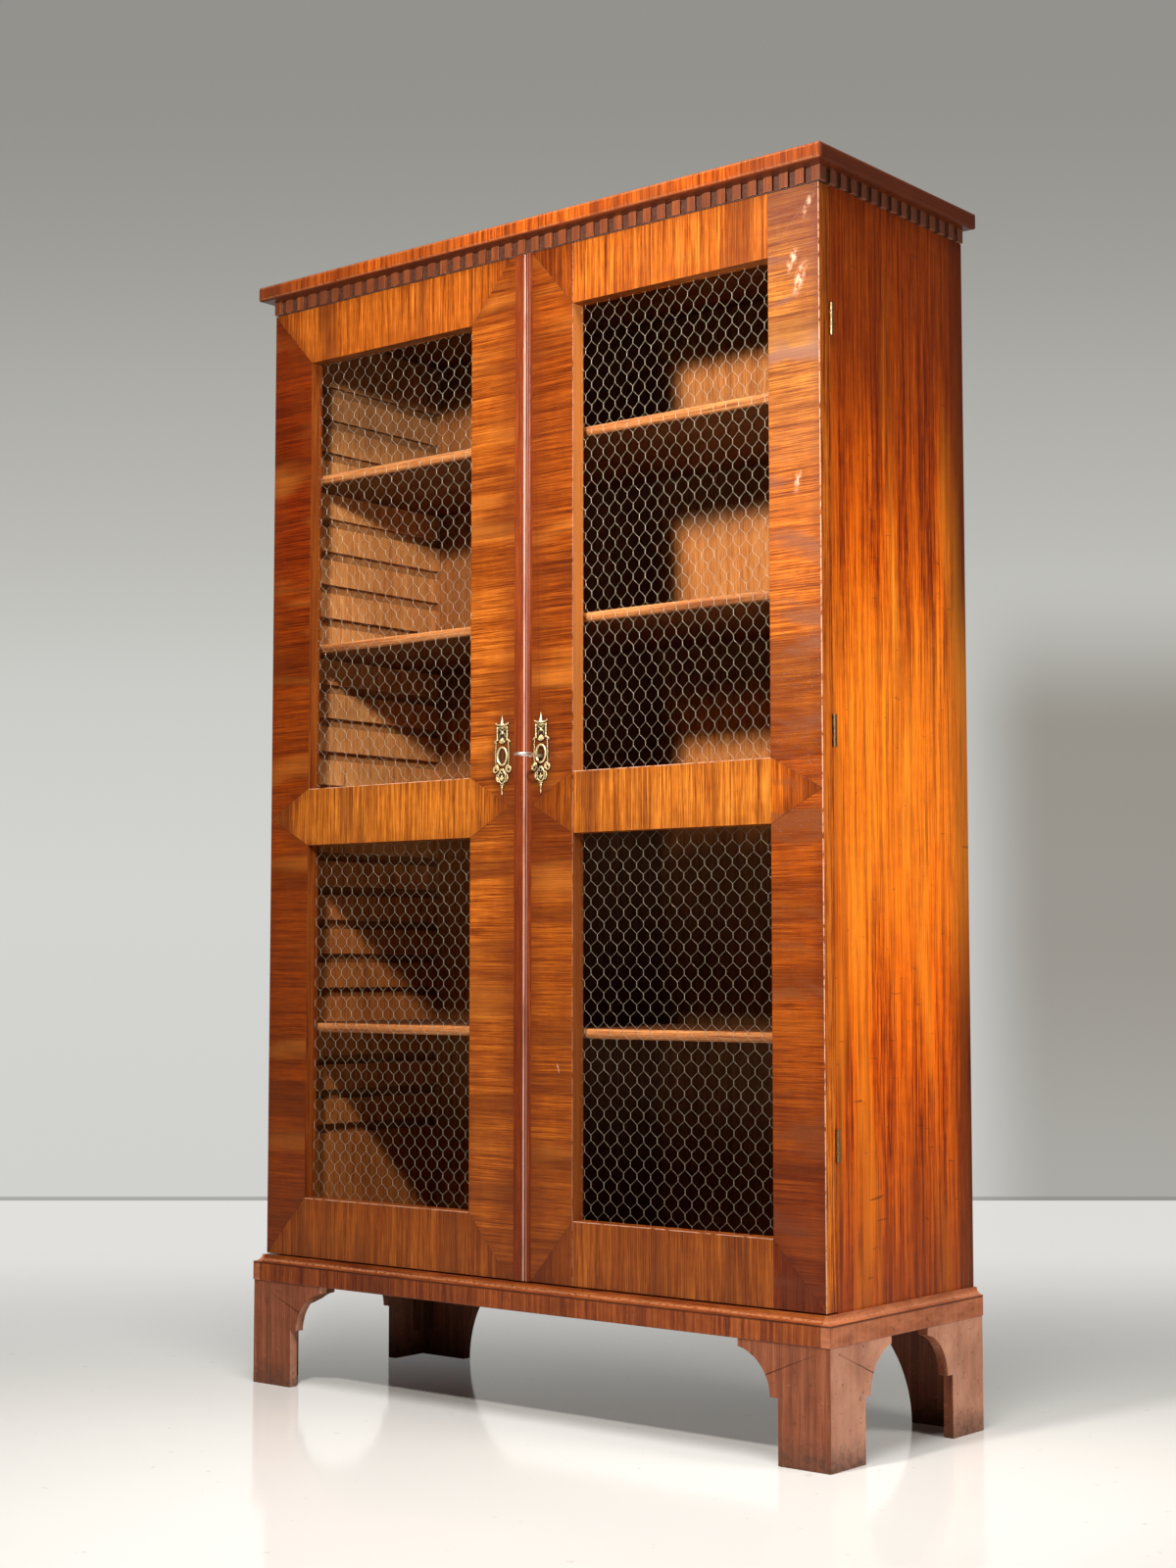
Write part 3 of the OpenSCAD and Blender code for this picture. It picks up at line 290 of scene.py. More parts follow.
def doorVeneer(shade, x, y, z):
    # cross-banded doors: rails with upright grain, stiles with level grain, mitred in between
    p = doorPlan
    outer, inner = p["outer"], p["inner"]
    u = abs(x)
    hinge = (u - outer) / p["stile"]
    meet = (inner - u) / p["meeting"]
    out = hinge.most(meet).most(0.0)
    top = z - p["top"] - out * p["topRail"] - shade.past(x, outer, 0.0004)
    low = p["low"] - z - out * p["lowRail"]
    middle = p["midHalf"] - abs(z - p["middle"]) - out * p["midHalf"]
    inRail = top.most(low).most(middle)
    rail = shade.past(inRail, -0.0001)
    # the grain of every leaf is shifted by another amount
    stileLeaf = shade.past(z, p["middle"] - 0.0001) * 2.7
    railLeaf = shade.past(z, 0.6, 0.001) * 1.9 + shade.past(z, 1.4, 0.001) * 1.3
    leaf = shade.pick(rail, stileLeaf, railLeaf) + shade.past(x, -0.0002, 0.0004) * 5.3
    along = shade.pick(rail, x, z)
    across = shade.pick(rail, z, x)
    wood(shade, along + leaf, across + leaf, y, figured)
    # each leaf has its own tone: the far left stile is the darkest, the middle rails are golden; the far left
    # stile and the two meeting stiles are darker at the top and lighter lower down, and the whole door is
    # darker towards the bottom
    tired = shade.noise(x * 7, 0.0, z * 3.3, 3, 0.6)
    stile = 1 - rail
    leftSide = shade.past(x, 0.0002, -0.0004)
    farLeft = shade.past(x, -outer, -0.0002) * stile
    farLeftTone = shade.blend(shade.fade(z, 1.1, 1.55), (0.56, 0.32, 0.02), (0.37, 0.12, 0.01))
    shade.tint(farLeft * 0.95, farLeftTone)
    nearRight = shade.past(u, outer, -0.0002) * (1 - leftSide) * stile
    lower = shade.fade(z, 0.92, 0.74)
    shade.tint(nearRight * 0.9, shade.blend(lower, (0.5, 0.36, 0.23), (1.06, 0.96, 0.56)))
    nearLeft = shade.past(u, outer, -0.0002) * leftSide * stile
    shade.tint(nearLeft * shade.fade(z, 1.15, 1.4), (0.84, 0.8, 0.76))
    shade.tint(nearLeft * lower, (1.26, 1.22, 1.1))
    shade.coat(stile * shade.fade(tired, 0.35, 0.75, 0.0, 0.45), (0.17, 0.034, 0.004))
    golden = rail * shade.fade(abs(z - p["middle"]), 0.06, 0.05) * shade.fade(out, 0.6, 0.0, 0.45, 1.0)
    shade.tint(golden, (1.24, 1.52, 1.7))
    tip = rail * shade.fade(out, 0.0, 0.5) * 0.45
    shade.tint(tip, (0.62, 0.48, 0.36))
    mitre = rail * shade.past(u, inner, -0.0002) * shade.fade(x, -0.09, 0.01)
    shade.tint(mitre, (0.6, 0.5, 0.44))
    glow = shade.fade(shade.noise(across * 13 + leaf, along * 2.0, 9.0, 2, 0.55), 0.52, 0.68, 0.0, 0.3)
    shade.coat(glow * stile, (0.64, 0.21, 0.03))
    shade.coat(shade.fade(z, 1.1, 0.25, 0.0, 0.4), (0.12, 0.028, 0.006))
    # old polish: darker in the mitred corners and along the edges of the leaves
    corner = shade.fade(abs(inRail), 0.03, 0.0) * shade.fade(tired, 0.3, 0.7, 0.2, 1.0)
    shade.coat(corner * 0.35, (0.11, 0.02, 0.004))
    rim = shade.fade(u, outer + 0.07, p["edge"]) * shade.fade(tired, 0.3, 0.7, 0.3, 1.0)
    shade.coat(rim * 0.4, (0.11, 0.02, 0.006))
    veil = shade.fade(shade.noise(x * 3.1, 2.0, z * 1.9, 3, 0.6), 0.45, 0.75, 0.0, 0.42)
    shade.coat(veil, (0.13, 0.024, 0.003))
    # level smoky bands on the far right stile, its top end dull and brown
    drift = z + (shade.noise(x * 9, 0.0, z * 8, 2) - 0.5) * 0.05 + x * 0.1
    smoky = shade.fade(shade.noise(drift * 21, x * 4, 5.0, 2, 0.55), 0.5, 0.66)
    farRight = shade.past(x, outer)
    shade.coat(farRight * smoky * 0.72, (0.21, 0.072, 0.034))
    # painted sheen: the top of the far right stile is tinted paler for the lamp's haze; lower down it is tinted
    # darker and more saturated
    shade.tint(farRight * shade.fade(z, 1.35, 1.65), (0.98, 1.34, 2.1))
    shade.tint(farRight * shade.fade(z, 1.15, 1.0), (1.0, 0.78, 0.45))
    shade.tint(farRight * shade.fade(z, 0.6, 0.34), (0.66, 0.56, 0.8))
    worn = shade.fade(z + x * 0.6 + shade.noise(x * 30, 0.0, z * 18, 3, 0.6) * 0.1, 2.04, 2.24)
    shade.coat(farRight * worn * 0.74, (0.125, 0.03, 0.018))
    # handling marks: darker towards the meeting edge and round the keyholes
    grime = shade.fade(u, 0.07, 0.014, 0.0, 0.62) * shade.fade(tired, 0.25, 0.7, 0.5, 1.0)
    shade.coat(grime, (0.11, 0.018, 0.004))
    for centre in (p["lockX"], p["blindX"]):
        far = shade.vector(x - centre, 0.0, (z - p["lockZ"]) * 0.42)
        reach = shade.node("ShaderNodeVectorMath", [far], "Value", operation="LENGTH")
        shade.coat(shade.fade(reach, 0.04, 0.012, 0.0, 0.65), (0.06, 0.012, 0.004))
    # glue lines of the mitres and of the stiles' inner edges
    line = shade.fade(abs(inRail), p["lines"], p["lines"] * 0.3) * 0.7
    seam = shade.fade(abs(u - inner).least(abs(u - outer)), p["lines"], 0.0002) * 0.6
    shade.coat(line.most(seam), (0.07, 0.016, 0.006))
    # pale arrises: the outer edge, worn and with a painted highlight where its rounding catches the light, and
    # the worn upper edges of the middle and bottom rails
    brink = shade.fade(x, *p["brink"])
    lowSill, midSill = abs(z - p["low"] + 0.0006), abs(z - p["middle"] - p["midHalf"] + 0.0006)
    sill = shade.fade(lowSill.least(midSill), 0.0011, 0.0004)
    inside = shade.past(u, inner, 0.001) * shade.past(u, outer, -0.001)
    jamb = shade.fade(abs(x - inner + 0.0006), 0.0009, 0.0003) * 0.35
    worn = brink.most(sill * inside * 0.65).most(jamb)
    broken = shade.fade(shade.cloud(60, 60, 3, 0.7), 0.36, 0.52)
    shade.coat(worn * broken, (0.72, 0.4, 0.27))
    broken = shade.fade(shade.cloud(170, 120, 3, 0.65), 0.38, 0.62)
    for sx, sz, angle, long, wide in scuffs:
        dx, dz = x - sx, z - sz
        run = dx * math.cos(angle) + dz * math.sin(angle)
        off = dz * math.cos(angle) - dx * math.sin(angle)
        scuff = shade.fade(abs(run), long, 0.0) * shade.fade(abs(off), wide, 0.0)
        shade.coat(scuff * broken, (0.78, 0.43, 0.29))
    polish(shade)


def edgedTop(shade, x, y, z):
    # cornice board: upright grain round its edge, long grain on top and beneath
    nx, _, nz = shade.place("Normal")
    flat = shade.fade(abs(nz), 0.7, 0.8)
    sideFace = shade.fade(abs(nx), 0.6, 0.7)
    run = shade.pick(sideFace, x, y)
    along = shade.pick(flat, shade.pick(sideFace, z, y), x)
    across = shade.pick(flat, shade.pick(sideFace, run, z), y)
    wood(shade, along, across, 0.0, dict(figured, streak=0.44))
    shade.tint(1.0, (1.0, 0.74, 0.56))
    dusty = shade.cloud(4, 4, 3, 0.6)
    shade.coat(shade.fade(dusty, 0.35, 0.75, 0.15, 0.6), (0.17, 0.042, 0.01))
    ends = shade.fade(abs(x), 0.4, 0.6) * shade.fade(dusty, 0.3, 0.7, 0.4, 1.0)
    shade.coat(ends * 0.75, (0.115, 0.024, 0.01))
    brink = shade.fade(abs(abs(nz) - 0.5), 0.28, 0.05) * shade.fade(shade.mottle, 0.3, 0.6)
    shade.coat(brink * 0.35, (0.56, 0.23, 0.1))
    # painted shade: the side faces and the underside darkened
    shade.coat(sideFace * 0.86, (0.085, 0.018, 0.007))
    shade.coat(flat * shade.fade(nz, 0.0, -0.1) * 0.75, (0.05, 0.01, 0.004))
    polish(shade, sideFace * 0.2)


def stileFinish(shade, x, y, z):
    # solid stiles behind the veneer: bright outer edges, darker jambs towards the left
    wood(shade, z, x, y, dict(sideLook, mid=(0.42, 0.09, 0.006), light=(0.68, 0.19, 0.018)))
    shade.coat(shade.fade(x, -0.11, -0.48, 0.0, 0.72), (0.11, 0.022, 0.006))
    shade.coat(shade.fade(z, 1.2, 1.85, 0.0, 0.5) * shade.fade(x, 0.5, 0.58), (0.15, 0.026, 0.003))
    jamb = shade.fade(abs(x - doorPlan["jamb"]), 0.0016, 0.001)
    bare = shade.blend(shade.fade(z, 0.96, 1.0), (0.26, 0.07, 0.018), (0.68, 0.23, 0.055))
    shade.coat(jamb * 0.8, bare)
    wear(shade, 0.5, (0.76, 0.33, 0.15), 0.35)
    polish(shade)


# centre and half width of the two pale lines, and the edges of the ground between them, painted dark as shade
mouldings = {"first": (0.0093, 0.0013), "second": (0.016, 0.0015), "core": 0.0006,
             "ground": (0.0104, 0.0108, 0.0148, 0.014)}


def mouldingFinish(shade, x, y, z):
    # red-brown closing strip, and the bead beside it: two pale lines, rubbed and with painted highlights, and
    # painted shade between them
    wood(shade, z, x, y, dict(mahogany, mid=(0.15, 0.023, 0.004), light=(0.23, 0.044, 0.009)))
    first, second = (shade.fade(abs(x - mouldings[key][0]), mouldings[key][1], mouldings["core"])
                     for key in ("first", "second"))
    lines = first.most(second)
    rubbed = shade.fade(shade.cloud(90, 9, 3, 0.6), 0.3, 0.5, 0.45, 1.0)
    between = shade.fade(x, *mouldings["ground"][:2]) * shade.fade(x, *mouldings["ground"][2:])
    # painted shade in the groove between strip and bead, then painted highlights on the two worn lines
    shade.coat(between * 0.8, (0.07, 0.018, 0.009))
    shade.coat(lines * rubbed * 0.8, (0.62, 0.33, 0.26))
    shade.surface(0.34 + shade.mottle * 0.1, shade.relief, Specular_IOR_Level=0.2)


# faces of the blocks, and how far back the ground between them, painted dark as shade and dusty, begins and is
# reached
dentils = {"face": faceY - 1.0 * mm, "sideFace": 0.5896, "begins": 4.6 * mm * 0.7, "reached": 4.6 * mm * 0.95}


def dentilFinish(shade, x, y, z):
    # blocks red-brown with worn edges, the ground between them painted dark as shade and dusty
    d = dentils
    wood(shade, z, x + y, 0.0, mahogany)
    block = shade.noise((x + y) * 34, 0.0, 0.0, 0)
    shade.coat(0.35, (0.2, 0.07, 0.036))
    shade.coat(shade.fade(block, 0.3, 0.7, 0.0, 0.55), (0.15, 0.042, 0.02))
    sunk = shade.fade(y - d["face"], d["begins"], d["reached"])
    sunk = sunk * shade.fade(abs(x), d["sideFace"] - d["begins"], d["sideFace"] - d["reached"])
    dust = shade.fade(shade.cloud(200, 200, 3, 0.6), 0.3, 0.65, 0.0, 0.14)
    # painted shade: the sunk ground between the blocks darkened, with dust over it
    shade.coat(sunk * 0.92, (0.06, 0.018, 0.009))
    shade.coat(sunk * dust, (0.3, 0.18, 0.14))
    flank = shade.fade(abs(x), 0.5862, 0.5866)
    shade.coat(flank * (1 - sunk) * 0.6, (0.17, 0.066, 0.042))
    wear(shade, 0.9, (0.76, 0.48, 0.36), 0.3, 0.55)
    polish(shade, 0.08)


def baseFinish(shade, x, y, z, upright, look):
    # fascia with upright grain, cove with long grain; both turn the corner
    flank = shade.fade(abs(x), 0.586, 0.5868)
    run = shade.pick(flank, x, y)
    along, across = (z, run) if upright else (run, z)
    wood(shade, along, across, 0.0, look)
    tired = shade.cloud(6, 6, 3, 0.6)
    shade.coat(shade.fade(tired, 0.35, 0.75, 0.05, 0.45), look["dark"])
    shade.tint((1 - flank) * shade.fade(x, 0.15, -0.25), (0.76, 0.7, 0.66))
    rubbed = shade.fade(shade.cloud(14, 40, 4, 0.65), 0.32, 0.7, 0.25, 0.75)
    # wear, and painted light: the side faces paler in broken rubbed patches
    shade.coat(flank * rubbed * 0.9, (0.65, 0.235, 0.115))
    bruise = shade.fade(shade.cloud(70, 150, 3, 0.7), 0.6, 0.7)
    shade.coat(bruise * 0.55, (0.07, 0.02, 0.01))
    joint = shade.fade(abs(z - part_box("base_cove")[0].z), 0.0024, 0.0008)
    shade.coat(joint * 0.75, (0.05, 0.014, 0.007))
    wear(shade, 0.55, (0.62, 0.27, 0.13))
    polish(shade)


def footFinish(shade, x, y, z):
    # upright grain, dull and scuffed near the floor
    wood(shade, z, x, y, footLook)
    nx = shade.place("Normal")[0]
    rubbed = shade.fade(shade.cloud(14, 10, 4, 0.65), 0.32, 0.7, 0.35, 0.85)
    # wear, and painted light: the faces towards the sides paler in broken rubbed patches
    shade.coat(shade.fade(abs(nx), 0.6, 0.8) * rubbed, (0.74, 0.38, 0.25))
    shade.coat(rubbed * 0.25, (0.42, 0.15, 0.075))
    shade.coat(shade.fade(z, 0.05, 0.0, 0.0, 0.55), (0.1, 0.038, 0.022))
    bruise = shade.fade(shade.cloud(55, 120, 3, 0.7), 0.6, 0.7)
    shade.coat(bruise * 0.5, (0.075, 0.026, 0.014))
    low = shade.fade(z, 0.06, 0.004)
    dirt = shade.fade(shade.cloud(90, 90, 4, 0.7), 0.42, 0.66)
    shade.coat(low * dirt * 0.6, (0.06, 0.03, 0.02))
    nicks = shade.fade(shade.cloud(45, 260, 3, 0.7), 0.655, 0.7)
    shade.coat(nicks * 0.5, (0.48, 0.23, 0.12))
    wear(shade, 0.6, (0.52, 0.23, 0.13))
    polish(shade)


def sideFinish(shade, x, y, z):
    # long upright figure with a few dark scratches, and painted light and shade across its height
    wood(shade, z, y + shade.fade(x, -0.1, 0.1) * 3.0, 0.0, sideLook)
    fine = shade.noise(y * 210, z * 2.2, 1.0, 3, 0.6)
    shade.coat(shade.fade(fine, 0.5, 0.66, 0.0, 0.58), (0.17, 0.028, 0.002))
    bright = shade.noise(y * 11, z * 1.1, 0.0, 3, 0.6)
    shade.coat(shade.fade(bright, 0.5, 0.68, 0.0, 0.55), (0.96, 0.34, 0.026))
    worn = shade.noise(y * 26, z * 7, 4.0, 4, 0.65)
    shade.coat(shade.fade(worn, 0.6, 0.74, 0.0, 0.5), (0.15, 0.028, 0.003))
    ragged = y + (shade.noise(y * 30, z * 5, 7.0, 3, 0.6) - 0.5) * 0.03
    rear = shade.fade(ragged, cadHigh.y - 0.095, cadHigh.y - 0.024)
    shade.coat(rear * 0.82, (0.036, 0.008, 0.002))
    # painted light: a bright orange band across the middle of the side, and a darker tint outside the band
    paintedGlow = shade.fade(z, 1.34, 1.12) * shade.fade(z, 0.55, 0.86) * shade.fade(fine, 0.3, 0.6, 0.4, 1.0)
    shade.coat(paintedGlow * 0.26, (0.9, 0.27, 0.02))
    uneven = z + (shade.noise(y * 14, z * 0.8, 3.0, 2, 0.6) - 0.5) * 0.45
    paintedLitBand = shade.fade(uneven, 0.62, 0.98) * shade.fade(uneven, 1.52, 1.16)
    shade.tint(1 - paintedLitBand, (0.93, 0.72, 0.5))
    # painted shade: darker towards the top and towards the bottom
    shade.coat(shade.fade(z, 1.25, 1.8, 0.0, 0.6), (0.12, 0.014, 0.001))
    shade.coat(shade.fade(z, 0.6, 0.22, 0.0, 0.3), (0.22, 0.05, 0.012))
    scratch = shade.noise(y * 18 + z * 6, z * 120, 2.0, 2, 0.6, 0.4)
    shade.coat(shade.fade(scratch, 0.7, 0.735) * 0.6, (0.09, 0.02, 0.006))
    front = shade.fade(ragged, faceY + 0.062, faceY + 0.024)
    shade.coat(front * 0.3, (0.15, 0.026, 0.004))
    polish(shade)


shelfFaces = (0.987, 1.291, 1.595)  # upper faces of three shelves; the wood is dark beneath the next one


def innerFinish(shade, x, y, z, axis, tint):
    # bare inner wood: dusty and stained, with painted shade beneath the shelves and in the shelf grooves
    along, across, depth = {"x": (x, y, z), "z": (z, y, x), "zx": (z, x, y)}[axis]
    wood(shade, along, across, depth, bareWood)
    shade.tint(1.0, tint)
    if axis == "zx":
        # painted shade in broad uneven patches on the inner face: behind the meeting stiles, beneath the
        # shelves, at the far left and low down; weathered all over on the outer one
        inside = shade.fade(shade.place("Normal")[1], -0.2, -0.8)
        ragged = (shade.noise(x * 8, 3.0, z * 6, 3, 0.6) - 0.5) * 0.07
        paintedShade = shade.fade(x + ragged, 0.05, -0.04) * shade.fade(x + ragged, -0.32, -0.23)
        for level in shelfFaces:
            beneath = shade.fade(z + ragged * 0.5, level + 0.155, level + 0.235)
            beneath = beneath * shade.fade(z, level + 0.305, level + 0.3)
            paintedShade = paintedShade.most(beneath * 0.85)
        paintedShade = paintedShade.most(shade.fade(x, -0.4, -0.48) * 0.55)
        low = shade.fade(z + ragged, 0.99, 0.9) * shade.fade(x + ragged, -0.3, -0.12)
        paintedShade = paintedShade.most(low * 0.85)
        shade.coat(paintedShade * inside * 0.88, (0.045, 0.018, 0.009))
        shade.coat((1 - inside) * 0.6, (0.23, 0.135, 0.075))
    stain = shade.noise(x * 3, y * 6, z * 3, 4, 0.6)
    shade.coat(shade.fade(stain, 0.5, 0.75, 0.0, 0.4), (0.26, 0.13, 0.06))
    if axis == "z":
        # painted shade in the shelf grooves
        sunk = shade.fade(abs(x), 0.5605, 0.562) * shade.fade(abs(x), 0.57, 0.569)
        shade.coat(sunk * 0.45, (0.06, 0.026, 0.012))
        # painted shade on the inner sides: darker lower down, and darker near the top
        shade.tint(shade.fade(z + y * 0.5, 1.02, 0.9), (0.58, 0.44, 0.33))
        shade.coat(shade.fade(z, 1.62, 1.72) * 0.6, (0.12, 0.058, 0.028))
    shade.coat(edges(shade) * 0.6, (0.7, 0.47, 0.28))
    polish(shade)


# metals

def brassFinish(shade, x, y, z, bright, dull, relief=0.0):
    # aged brass; where relief is given, the low parts of the casting stay dark
    spots = shade.cloud(420, 420, 4, 0.65)
    broad = shade.cloud(60, 60, 3, 0.6)
    shade.colour = shade.blend(shade.fade(spots, 0.38, 0.66), bright, dull)
    shade.coat(shade.fade(broad, 0.5, 0.75, 0.0, 0.4), (0.3, 0.17, 0.06))
    roughness = 0.26 + spots * 0.25
    metal = 1.0
    if relief:
        high = shade.fade(faceY - y, 0.46 * relief, 0.82 * relief)
        high = high * shade.fade(shade.place("Normal")[1], -0.1, -0.6)
        shade.colour = shade.blend(high, (0.045, 0.022, 0.008), shade.colour)
        metal = 0.62
        roughness = roughness + (1 - high) * 0.3
    shade.surface(roughness, spots, 0.0001, 0.35, Metallic=metal, Specular_IOR_Level=0.5)


def steelFinish(shade, x, y, z, bright, dull):
    spots = shade.cloud(300, 300, 4, 0.7)
    shade.colour = shade.blend(shade.fade(spots, 0.45, 0.72), bright, dull)
    shade.surface(0.24 + spots * 0.3, spots, 0.0001, Metallic=1.0)


def wireFinish(shade, x, y, z):
    # dull galvanised wire, with a painted highlight where it faces level, most of all on the upright twists
    spots = shade.cloud(90, 90, 3, 0.65)
    shade.colour = shade.blend(shade.fade(spots, 0.35, 0.7), (0.26, 0.2, 0.135), (0.11, 0.078, 0.048))
    upright = shade.fade(abs(shade.place("Normal")[2]), 0.42, 0.2)
    shade.coat(upright * 0.7, (0.68, 0.59, 0.44))
    shade.surface(0.4 + spots * 0.2, Metallic=0.5)


finishes = {key: newFinish(*values) for key, values in {
    "railCore": ("rail core", board, mahogany, "x"),
    "stileCore": ("stile core", stileFinish),
    "doorVeneer": ("door veneer", doorVeneer),
    "cornice": ("cornice", edgedTop),
    "dentil": ("dentils", dentilFinish),
    "fascia": ("fascia", baseFinish, True, dict(mahogany, stripes=130)),
    "cove": ("cove", baseFinish, False, mahogany),
    "foot": ("feet", footFinish),
    "side": ("side veneer", sideFinish),
    # painted shade: the shelves, the case top and bottom and the back base rail are tinted far darker than the
    # bare wood
    "shelf": ("bare shelf wood", innerFinish, "x", (0.18, 0.12, 0.08)),
    "innerSide": ("bare side wood", innerFinish, "z", (1.2, 1.15, 1.08)),
    "backBoard": ("bare back wood", innerFinish, "zx", (1.06, 0.86, 0.64)),
    "block": ("glue blocks", board, blockLook, "z", 0.3),
    "lipping": ("shelf lipping", board, lippingLook, "x"),
    "strip": ("meeting mouldings", mouldingFinish),
    "brass": ("old brass", brassFinish, (0.68, 0.49, 0.24), (0.36, 0.23, 0.1)),
    "gilt": ("gilt casting", brassFinish, (0.96, 0.76, 0.42), (0.6, 0.41, 0.16), 3.4 * mm),
    "steel": ("key steel", steelFinish, (0.86, 0.84, 0.8), (0.4, 0.37, 0.33)),
    "wire": ("netting wire", wireFinish),
}.items()}


def both(*parts):
    # nodes of the left and of the right door
    return [f"{side}_{part}" for side in ("left", "right") for part in parts]


dressed = {
    "cornice": ["cornice_top"],
    "dentil": ["dentil_front", "dentil_left", "dentil_right"],
    "railCore": ["frieze_rail", *both("top_rail", "middle_rail", "bottom_rail")],
    "stileCore": both("hinge_stile", "meeting_stile", "net_beads"),
    "doorVeneer": both("veneers"),
    "fascia": ["base_fascia"],
    "cove": ["base_cove"],
    "foot": ["foot_front_left", "foot_front_right", "foot_back_left", "foot_back_right"],
    "side": ["side_veneers"],
    "shelf": ["case_top", "case_bottom", "shelf_top", "shelf_upper", "shelf_middle", "shelf_lower",
              "base_rail_back"],
    "innerSide": ["side_left", "side_right"],
    "block": ["glue_blocks"],
    "backBoard": ["back_boards"],
    "lipping": ["shelf_lippings"],
    "strip": ["left_meeting_strip", "right_meeting_bead"],
    "brass": ["case_hinge_leaves", "hinge_pins", "strike_plate", "bolt_guides", "upper_bolt", "lower_bolt",
              "lock_bolt", *both("hinge_leaves", "escutcheon")],
    "steel": ["key", "lock_case", "lock_cover"],
    "wire": both("upper_net", "lower_net"),
}
# radius of the arrises eased by hand, in millimetres
softened = {"doorVeneer": 0.3, "railCore": 0.35, "stileCore": 0.4, "fascia": 1.2, "foot": 1.0, "dentil": 0.45,
            "shelf": 0.7, "innerSide": 0.5, "backBoard": 0.6, "side": 0.3}

for finish, names in dressed.items():
    for name in names:
        cad = nodes[name]
        if not cad.material_slots:
            cad.data.materials.append(finishes[finish])
        for slot in cad.material_slots:
            slot.material = finishes[finish]
        if finish in softened:
            weld = cad.modifiers.new("weld", "WELD")
            weld.merge_threshold = 0.00001
            ease = cad.modifiers.new("ease", "BEVEL")
            ease.width = softened[finish] * mm
            ease.segments = 2
            ease.limit_method = "ANGLE"
            ease.angle_limit = math.radians(40)
print("finishes on the boards and fittings")


# building pieces

def makeMesh(name, shapes):
    # one mesh from a list of (points, faces)
    points, faces = [], []
    for shapePoints, shapeFaces in shapes:
        start = len(points)
        points += [tuple(p) for p in shapePoints]
        faces += [tuple(start + int(i) for i in face) for face in shapeFaces]
    mesh = bpy.data.meshes.new(name)
    mesh.from_pydata(points, [], faces)
    mesh.update()
    return mesh


def addPiece(name, made, body, slot, finish, *replaced, smooth=True):
    # a piece on its body, from a mesh or from a list of shapes
    mesh = makeMesh(name, made) if isinstance(made, list) else made
    piece = bpy.data.objects.new(name, mesh)
    scene.collection.objects.link(piece)
    if smooth:
        mesh.polygons.foreach_set("use_smooth", [True] * len(mesh.polygons))
    mesh.materials.append(finishes[finish])
    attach(piece, body)
    if replaced:
        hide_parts(*replaced)


def unit(rows, spare):
    # rows scaled to length one; a row without length takes the spare direction
    long = np.linalg.norm(rows, axis=1)[:, None]
    return np.where(long > 1e-9, rows / np.maximum(long, 1e-9), spare)


def tube(points, radii, sides=8, closed=False):
    # round bar through points, with a radius at each
    points = np.array(points, float)
    radii = np.broadcast_to(np.array(radii, float), (len(points),))
    if closed:
        tangents = np.roll(points, -1, 0) - np.roll(points, 1, 0)
    else:
        tangents = np.gradient(points, axis=0)
    tangents = unit(tangents, (0.0, 0.0, 1.0))
    across = unit(np.cross(tangents, (0.0, 1.0, 0.0)), (1.0, 0.0, 0.0))
    up = np.cross(across, tangents)
    turn = np.arange(sides) * 2 * math.pi / sides
    ring = np.cos(turn)[None, :, None] * across[:, None] + np.sin(turn)[None, :, None] * up[:, None]
    made = (points[:, None] + ring * radii[:, None, None]).reshape(-1, 3)
    count = len(points)
    faces = []
    for i in range(count if closed else count - 1):
        a, b = i * sides, (i + 1) % count * sides
        faces += [(a + j, a + (j + 1) % sides, b + (j + 1) % sides, b + j) for j in range(sides)]
    if not closed:
        faces += [tuple(range(sides))[::-1], tuple((count - 1) * sides + j for j in range(sides))]
    return made, faces


def bead(centre, radii, around=14, rings=9):
    # ball or egg shape
    made = [(0.0, 0.0, 1.0)]
    for i in range(1, rings):
        lean = math.pi * i / rings
        for j in range(around):
            turn = 2 * math.pi * j / around
            made.append((math.sin(lean) * math.cos(turn), math.sin(lean) * math.sin(turn), math.cos(lean)))
    made.append((0.0, 0.0, -1.0))
    made = np.array(made) * np.array(radii) + np.array(centre)
    last = len(made) - 1
    faces = [(0, 1 + j, 1 + (j + 1) % around) for j in range(around)]
    for i in range(rings - 2):
        a, b = 1 + i * around, 1 + (i + 1) * around
        faces += [(a + j, b + j, b + (j + 1) % around, a + (j + 1) % around) for j in range(around)]
    a = 1 + (rings - 2) * around
    faces += [(a + j, last, a + (j + 1) % around) for j in range(around)]
    return made, faces


# wire netting

netting = {"twist": 4.2 * mm, "wire": 0.23 * mm, "wind": 0.28 * mm, "sides": 5, "slack": 0.5 * mm,
           "first": 0.45, "insetX": 1 * mm, "insetZ": 0.5 * mm}
# cell width and row height of each panel
meshes = {"left_upper_net": (26.5 * mm, 18.2 * mm), "left_lower_net": (25.4 * mm, 17.6 * mm),
          "right_upper_net": (24.3 * mm, 18.9 * mm), "right_lower_net": (26.4 * mm, 18.5 * mm)}


